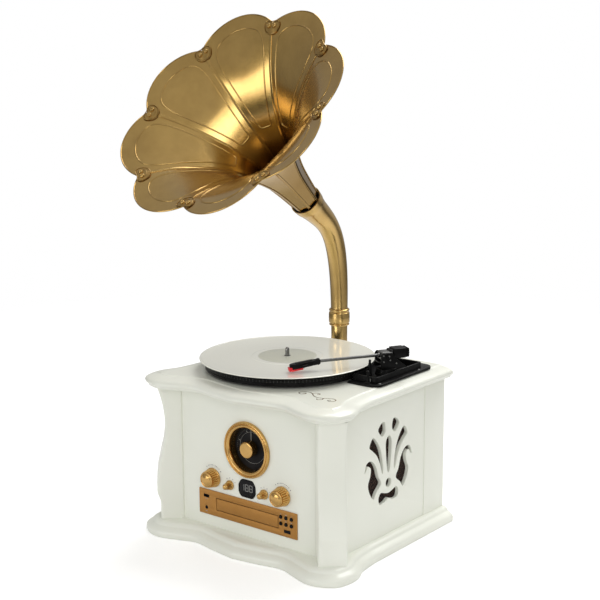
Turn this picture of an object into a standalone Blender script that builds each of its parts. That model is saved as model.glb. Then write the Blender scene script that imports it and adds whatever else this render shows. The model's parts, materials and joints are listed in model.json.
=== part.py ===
"""Horn record player: a moulded cabinet with radio, disc drive and belt drive
turntable, and a swivelling eight petal horn held by a bracket on its back.

Lengths are millimetres here and become metres when a mesh is made. X points right,
Y to the back and Z up. The origin is on the floor under the middle of the cabinet.
"""
import math

import bmesh
import bpy
from mathutils import Matrix, Vector

MM = 0.001
GAP = 0.3  # clearance between pieces that touch

# Cabinet
BASE_TOP = 25.4
TOP_UNDER = 256.8
TOP_SURFACE = 280.0
WALL_LOW = BASE_TOP + GAP
WALL_HIGH = TOP_UNDER - GAP
SIDE_X = 175.3  # outer face of the side panels
SIDE_THICK = 9.0
FRONT_Y = -133.4  # outer face of the front panel
FRONT_THICK = 12.0
BACK_EDGE = 187.5
BACK_Y = 185.0  # outer face of the back panel
BACK_THICK = 9.0
POST_INNER, POST_START, POST_END = 195.0, 5.0, 52.0
CORNER_GAP = 0.35  # panels stop this far from the corner posts' inner faces

# Front controls
STRIP_HALF, STRIP_LOW, STRIP_HIGH, STRIP_THICK = 106.0, 45.0, 89.0, 1.7
STRIP_FRONT = FRONT_Y - GAP - STRIP_THICK
TRAY_HALF, TRAY_LOW, TRAY_HIGH = 66.6, 56.8, 77.2
DISC_RADIUS = 60.5
BUTTON_RADIUS = 3.0
BUTTON_XS, BUTTON_ZS = (72.3, 83.2, 94.3), (77.1, 65.8)
PORT_X, SOCKET_Z, JACK_Z = -89.7, 77.3, 56.7
SOCKET_HALF_W, SOCKET_HALF_H = 6.0, 2.5
SENSOR = (79.2, 92.1, 51.6, 56.7)
DIAL_X, DIAL_Z, DIAL_HOLE = 1.8, 175.7, 44.0
DISPLAY_Z, DISPLAY_HALF_W, DISPLAY_HALF_H = 108.3, 17.8, 15.2
BIG_KNOB_X, BIG_KNOB_Z = 75.0, 112.3
SMALL_KNOB_X, SMALL_KNOB_Z = 37.0, 107.0
SHAFT_RADIUS, SHAFT_HOLE = 3.0, 3.6

# Turntable
SPINDLE = (-29.0, 10.0)
SPINDLE_RADIUS = 3.5
RECORD_RADIUS, RECORD_TOP, RECORD_THICK = 150.5, 301.2, 1.9
PLATTER_RADIUS, PLATTER_BOTTOM = 141.0, 284.2
PLATTER_TOP = RECORD_TOP - RECORD_THICK - GAP
BELT_RING_RADIUS, PULLEY_RADIUS = 64.0, 6.0
MOTOR_DISTANCE, MOTOR_ANGLE = 100.0, 210.0
BELT_LOW, BELT_HIGH = 288.5, 292.5

# Tonearm: "along" runs from the pivot to the head, "side" is to its right
PIVOT = Vector((138.0, 64.0, 317.5))
COLLAR = Vector((75.5, -34.0, 316.5))
HEAD_ANGLE, HEAD_LENGTH, HEAD_DROP = 235.0, 52.0, 7.0
TUBE_RADIUS = 2.6
DECK_TOP, RIM_TOP = 284.0, 294.0
CHEEK_INNER, CHEEK_THICK = 12.5, 2.5

# Horn: depth runs from the mouth back to the throat
TUBE_X, TUBE_Y, TUBE_RADIUS_BASE = -64.0, 205.0, 14.9
HORN_TILT, HORN_HEADING, HORN_ROLL = math.radians(40.5), math.radians(-1.4), math.radians(3.0)
MOUTH_REACH, MOUTH_Z = 284.4, 717.5
PETALS = 8
CLIP_RADIUS, TIP_RADIUS, EDGE_ARC = 179.0, 211.2, 82.3
FLAT_RADIUS = 105.0  # petals are flat across up to here, and rounder towards the rim
SOCKET_DEPTH = 249.0
ELBOW_TOP_Z, ELBOW_LOW_Z, ELBOW_STEPS = 348.0, 332.0, 13
PETAL_SHEET = 1.0


# ---------------------------------------------------------------- helpers
def clear_scene():
    for obj in list(bpy.data.objects):
        bpy.data.objects.remove(obj, do_unlink=True)


def material(name, colour, roughness, metallic=0.0):
    mat = bpy.data.materials.new(name)
    mat.use_nodes = True
    shader = mat.node_tree.nodes["Principled BSDF"]
    shader.inputs["Base Color"].default_value = (*colour, 1.0)
    shader.inputs["Roughness"].default_value = roughness
    shader.inputs["Metallic"].default_value = metallic
    mat.diffuse_color = (*colour, 1.0)
    return mat


def add(name, bm, look, origin=(0, 0, 0)):
    """Turns a millimetre bmesh in world coordinates into an object whose origin is given."""
    bmesh.ops.recalc_face_normals(bm, faces=bm.faces[:])
    bm.transform(Matrix.Scale(MM, 4) @ Matrix.Translation(-Vector(origin)))
    mesh = bpy.data.meshes.new(name)
    bm.to_mesh(mesh)
    bm.free()
    mesh.materials.append(material(name, *look))
    mesh.shade_smooth()
    mesh.set_sharp_from_angle(angle=math.radians(32))
    obj = bpy.data.objects.new(name, mesh)
    obj.location = Vector(origin) * MM
    bpy.context.scene.collection.objects.link(obj)
    return obj


def combined(bm, other, operation):
    """The first shape with the other one joined to it or cut from it."""
    scene = bpy.context.scene
    pair = []
    for shape in (bm, other):
        bmesh.ops.recalc_face_normals(shape, faces=shape.faces[:])
        mesh = bpy.data.meshes.new("shape")
        shape.to_mesh(mesh)
        shape.free()
        obj = bpy.data.objects.new("shape", mesh)
        scene.collection.objects.link(obj)
        pair.append(obj)
    modifier = pair[0].modifiers.new("join", "BOOLEAN")
    modifier.operation = operation
    modifier.object = pair[1]
    bpy.context.view_layer.update()
    result = bmesh.new()
    result.from_object(pair[0], bpy.context.evaluated_depsgraph_get())
    for obj in pair:
        bpy.data.objects.remove(obj, do_unlink=True)
    bmesh.ops.remove_doubles(result, verts=result.verts[:], dist=0.001)
    return result


def joined(bm, *others):
    for other in others:
        bm = combined(bm, other, "UNION")
    return bm


def cut(bm, *cutters):
    for cutter in cutters:
        bm = combined(bm, cutter, "DIFFERENCE")
    return bm


def block(xs, ys, zs):
    bm = bmesh.new()
    bmesh.ops.create_cube(bm, size=1.0)
    size = [hi - lo for lo, hi in (xs, ys, zs)]
    centre = [(hi + lo) / 2 for lo, hi in (xs, ys, zs)]
    bm.transform(Matrix.Translation(centre) @ Matrix.Diagonal((*size, 1.0)))
    return bm


def plate(outline, low, high, holes=()):
    """Flat plate with holes, its outline in X and Y, from low to high in Z."""
    bm = bmesh.new()
    edges = []
    for loop in (outline, *holes):
        verts = [bm.verts.new((x, y, low)) for x, y in loop]
        edges += [bm.edges.new((verts[i - 1], verts[i])) for i in range(len(verts))]
    bmesh.ops.triangle_fill(bm, use_beauty=True, edges=edges)
    grown = bmesh.ops.extrude_face_region(bm, geom=bm.faces[:])["geom"]
    top = [item for item in grown if isinstance(item, bmesh.types.BMVert)]
    bmesh.ops.translate(bm, verts=top, vec=(0, 0, high - low))
    return bm


def front_plate(outline, front, back, holes=()):
    """Plate whose outline is in X and Z, between two Y values."""
    bm = plate(outline, -back, -front, holes)
    bm.transform(Matrix.Rotation(math.radians(90), 4, "X"))
    return bm


def side_plate(outline, inner, outer, holes=()):
    """Plate whose outline is in Y and Z, between two X values."""
    bm = plate(outline, inner, outer, holes)
    bm.transform(Matrix(((0, 0, 1, 0), (1, 0, 0, 0), (0, 1, 0, 0), (0, 0, 0, 1))))
    return bm


def turned(profile, segments, centre=(0, 0, 0)):
    """Closed outline of (radius, height) points turned about Z."""
    bm = bmesh.new()
    rings = []
    for radius, height in profile:
        count = segments if radius else 1
        turns = [2 * math.pi * k / segments for k in range(count)]
        rings.append([bm.verts.new((radius * math.cos(t), radius * math.sin(t), height)) for t in turns])
    for lower, upper in zip(rings, rings[1:] + rings[:1]):
        for k in range(segments):
            corners = []
            for ring, step in ((lower, k), (lower, k + 1), (upper, k + 1), (upper, k)):
                vert = ring[step % len(ring)]
                if vert not in corners:
                    corners.append(vert)
            if len(corners) > 2:
                bm.faces.new(corners)
    bm.transform(Matrix.Translation(centre))
    return bm


def front_turned(profile, segments, x, z):
    """Turned shape on the front: its heights run towards the viewer, from Y = 0."""
    bm = turned(profile, segments)
    bm.transform(Matrix.Translation((x, 0, z)) @ Matrix.Rotation(math.radians(90), 4, "X"))
    return bm


def circle(x, y, radius, count):
    turns = [2 * math.pi * k / count for k in range(count)]
    return [(x + radius * math.cos(t), y + radius * math.sin(t)) for t in turns]


def rectangle(x0, x1, y0, y1):
    return [(x0, y0), (x1, y0), (x1, y1), (x0, y1)]


def arc(x, y, radius, start, end, steps):
    """Points on a circle from one angle to another, in degrees."""
    turns = [math.radians(start + (end - start) * k / steps) for k in range(steps + 1)]
    return [(x + radius * math.cos(t), y + radius * math.sin(t)) for t in turns]


def curve_point(before, start, end, after, t):
    """Point of the Catmull-Rom curve between two control points."""
    return tuple(
        0.5 * (2 * q + (r - p) * t + (2 * p - 5 * q + 4 * r - s) * t * t + (3 * q - p - 3 * r + s) * t ** 3)
        for p, q, r, s in zip(before, start, end, after)
    )


def smooth_path(points, steps):
    """Open smooth curve through the points."""
    ends = [points[0], *points, points[-1]]
    path = []
    for i in range(len(points) - 1):
        path += [curve_point(*ends[i:i + 4], k / steps) for k in range(steps)]
    return path + [points[-1]]


def smooth_loop(points, steps):
    """Closed smooth curve through the points."""
    count = len(points)
    loop = []
    for i in range(count):
        nearby = [points[(i + k - 1) % count] for k in range(4)]
        loop += [curve_point(*nearby, k / steps) for k in range(steps)]
    return loop


def skin(rings, closed):
    """Surface through equal rings of points; a closed one joins its last ring to its first."""
    bm = bmesh.new()
    loops = [[bm.verts.new(point) for point in ring] for ring in rings]
    pairs = list(zip(loops, loops[1:]))
    if closed:
        pairs.append((loops[-1], loops[0]))
    for lower, upper in pairs:
        for k in range(len(lower)):
            m = (k + 1) % len(lower)
            bm.faces.new((lower[k], lower[m], upper[m], upper[k]))
    return bm, loops


def capped(rings):
    bm, loops = skin(rings, closed=False)
    for loop in (loops[0], loops[-1]):
        edges = [bm.edges.get((loop[i - 1], loop[i])) for i in range(len(loop))]
        bmesh.ops.triangle_fill(bm, use_beauty=True, edges=edges)
    return bm


# ---------------------------------------------------------------- looks
WHITE = ((0.82, 0.82, 0.78), 0.28)
COPPER = ((0.56, 0.33, 0.14), 0.34, 0.9)
BRASS = ((0.55, 0.37, 0.16), 0.32, 1.0)
BLACK = ((0.015, 0.015, 0.016), 0.45)
STEEL = ((0.6, 0.6, 0.6), 0.25, 1.0)
GREY = ((0.2, 0.2, 0.2), 0.5)


# ---------------------------------------------------------------- cabinet
def half_outline():
    """Right half of the boards' edge, from the back corner to the middle of the front."""
    side = [(198.4, BACK_EDGE), (198.4, -30.0)]
    ear = [(198.6, -50.0), (203.5, -88.0), (212.5, -110.0), (215.5, -132.0), (210.0, -158.0)]
    front = [(196.0, -172.0), (178.0, -180.5), (156.0, -182.0), (124.0, -172.0)]
    bow = [(92.0, -162.3), (48.0, -170.0), (0.0, -177.0)]
    return [side[0]] + smooth_path(side[1:] + ear + front + bow, 2)


def board_outline(inset):
    """The whole edge, moved inwards everywhere but at the flat back."""
    half = half_outline()
    whole = half + [(-x, y) for x, y in reversed(half[:-1])]
    moved = []
    for i, (x, y) in enumerate(whole):
        x0, y0 = whole[max(i - 1, 0)]
        x1, y1 = whole[min(i + 1, len(whole) - 1)]
        length = math.hypot(x1 - x0, y1 - y0)
        at_back = i in (0, len(whole) - 1)
        step_x = (y1 - y0) / length * inset
        step_y = -(x1 - x0) / length * inset
        moved.append((x + step_x, y if at_back else y + step_y))
    return moved


def moulded_board(profile):
    rings = [[(x, y, z) for x, y in board_outline(inset)] for inset, z in profile]
    return capped(rings)


def make_boards():
    base_profile = [(0.6, 0.0), (0.0, 2.0), (0.5, 8.8), (3.4, 14.0)]
    base_profile += [(10.0, 18.6), (10.8, 20.2), (15.0, 24.2), (22.0, BASE_TOP)]
    add("base_board", moulded_board(base_profile), WHITE)
    top_profile = [(23.0, TOP_UNDER), (11.0, 261.0), (8.6, 264.6), (5.2, 268.4)]
    top_profile += [(6.4, 272.2), (12.0, 275.6), (30.0, 279.2), (33.0, TOP_SURFACE)]
    motor_x, motor_y = motor_place()
    holes = [turned(cylinder(SPINDLE_RADIUS + 0.4, 250.0, 290.0), 24, (*SPINDLE, 0))]
    holes.append(turned(cylinder(4.0, 250.0, 290.0), 16, (motor_x, motor_y, 0)))
    add("top_board", cut(moulded_board(top_profile), *holes), WHITE)


def cylinder(radius, low, high):
    return [(0, low), (radius, low), (radius, high), (0, high)]


def rounded_corners():
    """How far the display's outline stands out at its corners, as parts of its half sizes."""
    quarter = [(1.0, 0.4), (0.66, 1.0)]
    lower = [(0.68, -1.0), (1.0, -0.5)]
    right = lower + quarter
    return right + [(-x, z) for x, z in reversed(right)]


def display_outline(grow=0.0):
    return [
        (x * (DISPLAY_HALF_W + grow), DISPLAY_Z + z * (DISPLAY_HALF_H + grow))
        for x, z in rounded_corners()
    ]


def make_front():
    ends = POST_INNER * math.sqrt(2) + FRONT_Y - CORNER_GAP * math.sqrt(2)
    holes = [circle(DIAL_X, DIAL_Z, DIAL_HOLE, 36), display_outline(GAP)]
    holes.append(rectangle(-101.0, 101.0, 48.5, 85.5))
    for side in (-1, 1):
        holes.append(circle(side * BIG_KNOB_X, BIG_KNOB_Z, SHAFT_HOLE, 12))
        holes.append(circle(side * SMALL_KNOB_X, SMALL_KNOB_Z, SHAFT_HOLE, 12))
    outline = rectangle(-ends, ends, WALL_LOW, WALL_HIGH)
    add("front_panel", front_plate(outline, FRONT_Y, FRONT_Y + FRONT_THICK, holes), WHITE)


def make_back():
    half = SIDE_X - SIDE_THICK - GAP
    outline = rectangle(-half, half, WALL_LOW, WALL_HIGH)
    add("back_panel", front_plate(outline, BACK_Y - BACK_THICK, BACK_Y), WHITE)


FRET_CENTRE = 21.2  # the fretwork is symmetric about this Y


def fret_half():
    """Openings right of the centre line, as control points of closed curves."""
    drop = [(12.5, 220.0), (22.0, 219.0), (30.0, 211.0), (26.0, 203.5), (18.0, 197.5), (9.5, 205.5)]
    slot = [(44.5, 200.5), (54.5, 187.5), (46.0, 179.5), (34.0, 168.5), (25.0, 153.0), (18.5, 133.5)]
    slot += [(15.6, 142.0), (20.5, 168.0), (31.0, 188.5)]
    hook = [(53.0, 163.5), (63.0, 160.5), (68.0, 148.0), (64.5, 148.5), (58.5, 156.0), (50.5, 150.5)]
    belly = [(52.0, 138.0), (58.0, 124.0), (53.0, 108.0), (42.5, 96.0), (34.0, 106.0), (21.5, 117.5)]
    inner = [(29.0, 131.0), (34.5, 147.0), (43.0, 158.5)]
    return [drop, slot, hook + belly + inner]


def fret_openings():
    steps = 2
    middle = [(0.0, 194.0), (7.8, 186.0), (7.6, 166.0), (3.6, 136.0), (0.0, 131.5)]
    oval = [(0.0, 121.5), (7.2, 117.5), (6.6, 109.5), (0.0, 105.8)]
    bow_right = [(10.0, 97.5), (22.5, 100.8), (28.5, 92.0), (24.5, 82.0), (10.0, 82.5)]
    bow = [(0.0, 95.6)] + bow_right + [(0.0, 86.8)] + [(-y, z) for y, z in reversed(bow_right)]
    whole = [bow]
    for half in (middle, oval):
        whole.append(half + [(-y, z) for y, z in reversed(half[1:-1])])
    for shape in fret_half():
        whole += [shape, [(-y, z) for y, z in reversed(shape)]]
    moved = [[(FRET_CENTRE + y, z) for y, z in shape] for shape in whole]
    return [smooth_loop(shape, steps) for shape in moved]


def make_sides():
    front_end = -(POST_INNER * math.sqrt(2) - SIDE_X - CORNER_GAP * math.sqrt(2))
    pilaster_start, pilaster_step = 126.0, 1.5
    outline = rectangle(front_end, BACK_EDGE - GAP, WALL_LOW, WALL_HIGH)
    for name, side in (("left", -1), ("right", 1)):
        inner, outer = sorted((side * (SIDE_X - SIDE_THICK), side * SIDE_X))
        panel = side_plate(outline, inner, outer, fret_openings())
        strip_xs = sorted((side * (SIDE_X - 1.0), side * (SIDE_X + pilaster_step)))
        strip = block(strip_xs, (pilaster_start, BACK_EDGE - GAP), (WALL_LOW, WALL_HIGH))
        add("side_panel_" + name, joined(panel, strip), WHITE)


def post_section(reach):
    """Corners of a post, right of the cabinet, whose outer face is this far out on the diagonal."""
    corners = [(POST_INNER, POST_START), (reach, POST_START), (reach, POST_END), (POST_INNER, POST_END)]
    return [((d + s) / math.sqrt(2), (s - d) / math.sqrt(2)) for d, s in corners]


def make_posts():
    shape = [(236.0, WALL_LOW), (236.0, 54.0), (240.6, 69.0), (241.5, 80.0), (239.0, 112.0), (233.0, 140.0)]
    shape += [(227.0, 168.0), (225.3, 196.0), (228.0, 224.0), (233.0, 245.0), (236.6, WALL_HIGH)]
    levels = smooth_path(shape, 2)
    for name, side in (("left", -1), ("right", 1)):
        rings = [[(side * x, y, z) for x, y in post_section(reach)] for reach, z in levels]
        add("corner_post_" + name, capped(rings), WHITE)


def make_speakers():
    cloth = rectangle(-42.0, 84.0, 76.0, 234.0)
    front = SIDE_X - SIDE_THICK - GAP
    body = [(0, -4.0), (12.0, -4.0), (44.0, 0.0), (52.0, 0.0), (52.0, -3.0), (44.0, -5.0), (28.0, -26.0)]
    body += [(30.0, -27.0), (30.0, -42.0), (0, -42.0)]
    for name, side in (("left", -1), ("right", 1)):
        xs = sorted((side * front, side * (front - 1.0)))
        add("speaker_cloth_" + name, side_plate(cloth, *xs), ((0.05, 0.03, 0.025), 0.9))
        driver = turned(body, 18)
        driver.transform(
            Matrix.Translation((side * (front - 1.0 - GAP), FRET_CENTRE, 158.0))
            @ Matrix.Rotation(math.radians(side * 90), 4, "Y")
        )
        add("speaker_" + name, driver, BLACK)


def make_main_board():
    """Circuit board with a heat sink, a transformer and a capacitor standing on it."""
    low = WALL_LOW
    board = block((-70.0, 70.0), (60.0, 150.0), (low, low + 5.0))
    sink = block((-60.0, -10.0), (110.0, 140.0), (low + 4.0, low + 30.0))
    transformer = block((20.0, 62.0), (90.0, 130.0), (low + 4.0, low + 40.0))
    capacitor = turned(cylinder(9.0, low + 4.0, low + 32.0), 16, (-35.0, 82.0, 0))
    add("main_board", joined(board, sink, transformer, capacitor), ((0.03, 0.13, 0.06), 0.5))


# ---------------------------------------------------------------- front controls
def make_strip():
    holes = [rectangle(-TRAY_HALF - 0.4, TRAY_HALF + 0.4, TRAY_LOW - 0.4, TRAY_HIGH + 0.4)]
    holes.append(rectangle(*grown_socket(GAP)))
    holes.append(circle(PORT_X, JACK_Z, 3.2, 16))
    holes.append(rectangle(SENSOR[0] - GAP, SENSOR[1] + GAP, SENSOR[2] - GAP, SENSOR[3] + GAP))
    holes += [circle(x, z, BUTTON_RADIUS + GAP, 16) for x in BUTTON_XS for z in BUTTON_ZS]
    outline = rectangle(-STRIP_HALF, STRIP_HALF, STRIP_LOW, STRIP_HIGH)
    add("fascia_strip", front_plate(outline, STRIP_FRONT, STRIP_FRONT + STRIP_THICK, holes), COPPER)
    window = block(SENSOR[:2], (STRIP_FRONT, STRIP_FRONT + 6.0), SENSOR[2:])
    add("sensor_window", window, BLACK)


def grown_socket(grow):
    half_w, half_h = SOCKET_HALF_W + grow, SOCKET_HALF_H + grow
    return PORT_X - half_w, PORT_X + half_w, SOCKET_Z - half_h, SOCKET_Z + half_h


def make_ports():
    x0, x1, z0, z1 = grown_socket(0.0)
    shell = block((x0, x1), (STRIP_FRONT + 0.2, -121.0), (z0, z1))
    slot = block((x0 + 0.9, x1 - 0.9), (STRIP_FRONT - 2.0, -124.0), (z0 + 1.0, z1 - 1.0))
    add("memory_stick_socket", cut(shell, slot), BLACK)
    front = -STRIP_FRONT
    jack = [(0, 119.0), (2.9, 119.0), (2.9, front), (1.8, front), (1.8, 122.0), (0, 122.0)]
    add("headphone_jack", front_turned(jack, 16, PORT_X, JACK_Z), BLACK)


def make_buttons():
    profile = [(0, 128.0), (BUTTON_RADIUS, 128.0), (BUTTON_RADIUS, 131.0), (4.2, 131.0), (4.2, 132.6)]
    profile += [(BUTTON_RADIUS, 132.6), (BUTTON_RADIUS, 136.4), (2.3, 137.0), (0, 137.0)]
    number = 0
    for z in BUTTON_ZS:
        for x in BUTTON_XS:
            number += 1
            add(f"push_button_{number}", front_turned(profile, 12, x, z), BLACK, (x, -137.0, z))


def make_disc_drive():
    hole = rectangle(-69.0, 69.0, 55.5, 78.5)
    outline = rectangle(-74.0, 74.0, WALL_LOW, 88.0)
    add("disc_drive", front_plate(outline, -121.0, 27.0, [hole]), GREY)
    front_end = STRIP_FRONT
    face = block((-TRAY_HALF, TRAY_HALF), (front_end, front_end + 3.0), (TRAY_LOW, TRAY_HIGH))
    length = 2 * DISC_RADIUS + 11.0
    body = block((-64.0, 64.0), (front_end + 2.0, front_end + length), (60.0, 65.0))
    middle = front_end + 3.0 + 2.0 + DISC_RADIUS
    recess = turned(cylinder(DISC_RADIUS, 63.2, 70.0), 40, (0, middle, 0))
    opening = turned(cylinder(16.0, 50.0, 70.0), 20, (0, middle, 0))
    add("disc_tray", joined(face, cut(body, recess, opening)), COPPER, (0, front_end, 67.0))


def make_dial():
    sleeve_back, face_front = 121.2, 120.9
    rim = [(36.2, sleeve_back), (43.6, sleeve_back), (43.6, 133.7), (48.0, 133.7), (47.6, 137.0)]
    rim += [(44.6, 139.0), (40.2, 138.2), (39.4, 137.0), (36.6, 136.2)]
    add("dial_bezel", front_turned(rim, 36, DIAL_X, DIAL_Z), COPPER)
    disc = [(3.4, face_front - 2.0), (43.0, face_front - 2.0), (43.0, face_front), (3.4, face_front)]
    add("dial_face", front_turned(disc, 24, DIAL_X, DIAL_Z), BLACK)
    hub = [(0, 112.0), (2.6, 112.0), (2.6, 123.0), (13.8, 123.0), (13.8, 136.6), (12.6, 138.2), (0, 138.4)]
    needle = block((DIAL_X - 0.6, DIAL_X + 0.6), (-125.0, -123.6), (DIAL_Z + 10.0, DIAL_Z + 33.0))
    pointer = joined(front_turned(hub, 24, DIAL_X, DIAL_Z), needle)
    add("dial_pointer", pointer, COPPER, (DIAL_X, FRONT_Y, DIAL_Z))
    add("display_window", front_plate(display_outline(), FRONT_Y - 1.6, FRONT_Y + 8.0), BLACK)


def make_knobs():
    base = -FRONT_Y + 0.8
    stem = [(0, base - 15.0), (SHAFT_RADIUS, base - 15.0), (SHAFT_RADIUS, base)]
    big = stem + [(17.0, base), (17.0, base + 2.4), (15.6, base + 3.0), (13.0, base + 15.6)]
    big += [(12.2, base + 17.2), (10.6, base + 17.6), (7.0, base + 19.4), (0, base + 20.2)]
    small = stem + [(8.4, base), (8.4, base + 2.0), (7.2, base + 2.6), (5.0, base + 11.0)]
    small += [(4.2, base + 12.4), (3.2, base + 14.4), (0, base + 15.4)]
    places = [("volume_knob", big, 20, -BIG_KNOB_X, BIG_KNOB_Z)]
    places += [("tuning_knob", big, 20, BIG_KNOB_X, BIG_KNOB_Z)]
    places += [("tone_knob", small, 16, -SMALL_KNOB_X, SMALL_KNOB_Z)]
    places += [("function_knob", small, 16, SMALL_KNOB_X, SMALL_KNOB_Z)]
    for name, profile, segments, x, z in places:
        add(name, front_turned(profile, segments, x, z), COPPER, (x, FRONT_Y, z))


# ---------------------------------------------------------------- turntable
def motor_place():
    angle = math.radians(MOTOR_ANGLE)
    return SPINDLE[0] + MOTOR_DISTANCE * math.cos(angle), SPINDLE[1] + MOTOR_DISTANCE * math.sin(angle)


def belt_loop(extra):
    """Path round the platter's belt ring and the pulley, this far outside both."""
    big, small = BELT_RING_RADIUS + extra, PULLEY_RADIUS + extra
    tangent = math.degrees(math.acos((big - small) / MOTOR_DISTANCE))
    motor_x, motor_y = motor_place()
    far = arc(*SPINDLE, big, MOTOR_ANGLE + tangent, MOTOR_ANGLE + 360.0 - tangent, 28)
    near = arc(motor_x, motor_y, small, MOTOR_ANGLE - tangent, MOTOR_ANGLE + tangent, 6)
    return far + near


def make_drive():
    motor_x, motor_y = motor_place()
    low, high = BELT_LOW - 1.5, BELT_HIGH + 1.5
    pulley = [(0, TOP_UNDER), (1.5, TOP_UNDER), (1.5, low)]
    pulley += [(PULLEY_RADIUS, low), (PULLEY_RADIUS, high), (0, high)]
    add("motor_pulley", turned(pulley, 20, (motor_x, motor_y, 0)), STEEL, (motor_x, motor_y, low))
    motor = [(0, 214.0), (14.0, 214.0), (17.0, 217.0), (17.0, 252.0)]
    motor += [(24.0, 252.0), (24.0, WALL_HIGH), (0, WALL_HIGH)]
    add("motor", turned(motor, 18, (motor_x, motor_y, 0)), GREY)
    belt = plate(belt_loop(GAP + 0.8), BELT_LOW, BELT_HIGH, [belt_loop(GAP)])
    add("drive_belt", belt, ((0.02, 0.02, 0.02), 0.8))


def make_turntable():
    centre = (*SPINDLE, 0)
    top, web = PLATTER_TOP, PLATTER_TOP - 3.5
    bore = SPINDLE_RADIUS + 0.4
    rod = [(0, 236.0), (SPINDLE_RADIUS, 236.0), (SPINDLE_RADIUS, 313.0), (2.4, 315.6), (0, 316.4)]
    add("spindle", turned(rod, 20, centre), STEEL, (*SPINDLE, RECORD_TOP))
    dish = [(bore, top), (bore, 286.0), (12.0, 286.0), (12.0, web), (60.0, web), (60.0, 287.0)]
    dish += [(BELT_RING_RADIUS, 287.0), (BELT_RING_RADIUS, web), (136.0, web), (136.0, PLATTER_BOTTOM)]
    dish += [(PLATTER_RADIUS, PLATTER_BOTTOM), (PLATTER_RADIUS, top - 1.2), (PLATTER_RADIUS - 1.2, top)]
    add("platter", turned(dish, 40, centre), BLACK, (*SPINDLE, PLATTER_TOP))
    low = RECORD_TOP - RECORD_THICK
    disc = [(bore, RECORD_TOP), (bore, low), (RECORD_RADIUS - 1.0, low), (RECORD_RADIUS, low + 0.6)]
    disc += [(RECORD_RADIUS, RECORD_TOP - 0.6), (RECORD_RADIUS - 1.0, RECORD_TOP)]
    add("record", turned(disc, 48, centre), ((0.8, 0.8, 0.78), 0.12), (*SPINDLE, RECORD_TOP))


def deck_outline(left_radius, right, front, back, corner):
    """Deck shape: straight right, front and back, rounded right corners, hollow round left side."""
    start = math.degrees(math.asin((front - SPINDLE[1]) / left_radius))
    end = 38.0
    points = arc(right - corner, front + corner, corner, 270.0, 360.0, 5)
    points += arc(right - corner, back - corner, corner, 0.0, 90.0, 5)
    left = arc(*SPINDLE, left_radius, end, start, 9)
    return points + [(left[0][0], back)] + left


def make_deck():
    clear = PLATTER_RADIUS + 3.0
    flange = plate(deck_outline(clear, 172.0, -10.0, 162.0, 18.0), TOP_SURFACE + GAP, DECK_TOP)
    outer = deck_outline(clear + 0.8, 163.0, 2.0, 136.0, 5.0)
    inner = deck_outline(clear + 4.3, 159.5, 5.5, 132.5, 2.0)
    rim = plate(outer, DECK_TOP - 1.0, RIM_TOP, [inner])
    post = [(0, DECK_TOP - 1.0), (3.0, DECK_TOP - 1.0), (3.0, 304.0), (2.0, 311.0), (0, 311.0)]
    rest = turned(post, 12, (122.0, 41.0, 0))
    add("deck_plate", joined(flange, rim, rest), BLACK)


def arm_matrix():
    """Frame at the pivot: X along the tube towards the head, Y to its left, Z up."""
    along = (COLLAR - PIVOT).normalized()
    left = Vector((0, 0, 1)).cross(along).normalized()
    up = along.cross(left)
    axes = Matrix((along, left, up)).transposed().to_4x4()
    return Matrix.Translation(PIVOT) @ axes


def level_matrix():
    """The same frame, level, so that its Z is vertical."""
    along = Vector((COLLAR.x - PIVOT.x, COLLAR.y - PIVOT.y, 0)).normalized()
    left = Vector((0, 0, 1)).cross(along)
    axes = Matrix((along, left, Vector((0, 0, 1)))).transposed().to_4x4()
    return Matrix.Translation(PIVOT) @ axes


def rod_along(radius, start, end, segments):
    """Rod along the local X axis."""
    bm = turned(cylinder(radius, start, end), segments)
    bm.transform(Matrix.Rotation(math.radians(90), 4, "Y"))
    return bm


def make_pedestal_and_yoke():
    low = DECK_TOP + GAP
    foot = [(0, low), (18.0, low), (18.0, 287.0), (15.0, 295.0), (7.5, 295.4), (7.5, 304.0), (0, 304.0)]
    add("tonearm_pedestal", turned(foot, 20, (PIVOT.x, PIVOT.y, 0)), BLACK)
    low, floor, floor_top, top = 296.2 - PIVOT.z, 304.3 - PIVOT.z, 307.0 - PIVOT.z, 5.0
    cheek_shape = [(14.0, low), (14.0, 2.0), (11.0, top), (-6.0, top), (-12.0, -4.0), (-33.0, low)]
    bridge = block((-9.0, 14.0), (-CHEEK_INNER - 1.0, CHEEK_INNER + 1.0), (floor, floor_top))
    parts = [bridge]
    for side in (-1, 1):
        ys = sorted((side * CHEEK_INNER, side * (CHEEK_INNER + CHEEK_THICK)))
        cheek = front_plate(cheek_shape, *ys, [circle(0, 0, 2.0, 12)])
        parts.append(cheek)
    yoke = joined(*parts)
    yoke.transform(level_matrix())
    add("tonearm_yoke", yoke, BLACK, PIVOT)


def make_tonearm():
    reach = (COLLAR - PIVOT).length
    body = block((-8.0, 11.0), (-CHEEK_INNER + 1.0, CHEEK_INNER - 1.0), (-7.0, 6.0))
    pin = turned(cylinder(1.5, -CHEEK_INNER - 4.0, CHEEK_INNER + 4.0), 12)
    pin.transform(Matrix.Rotation(math.radians(90), 4, "X"))
    arm = joined(body, pin, rod_along(TUBE_RADIUS, 9.0, reach, 12), rod_along(3.0, -42.0, -6.0, 12))
    arm.transform(arm_matrix())
    add("tonearm_tube", arm, GREY, PIVOT)
    weight = block((-39.0, -12.0), (-CHEEK_INNER + 1.0, CHEEK_INNER - 1.0), (-7.0, 12.0))
    bmesh.ops.bevel(weight, geom=weight.edges[:], offset=2.0, segments=1, affect="EDGES")
    weight = cut(weight, rod_along(3.0 + GAP, -50.0, 0.0, 12))
    weight.transform(arm_matrix())
    add("counterweight", weight, BLACK, PIVOT)


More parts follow.
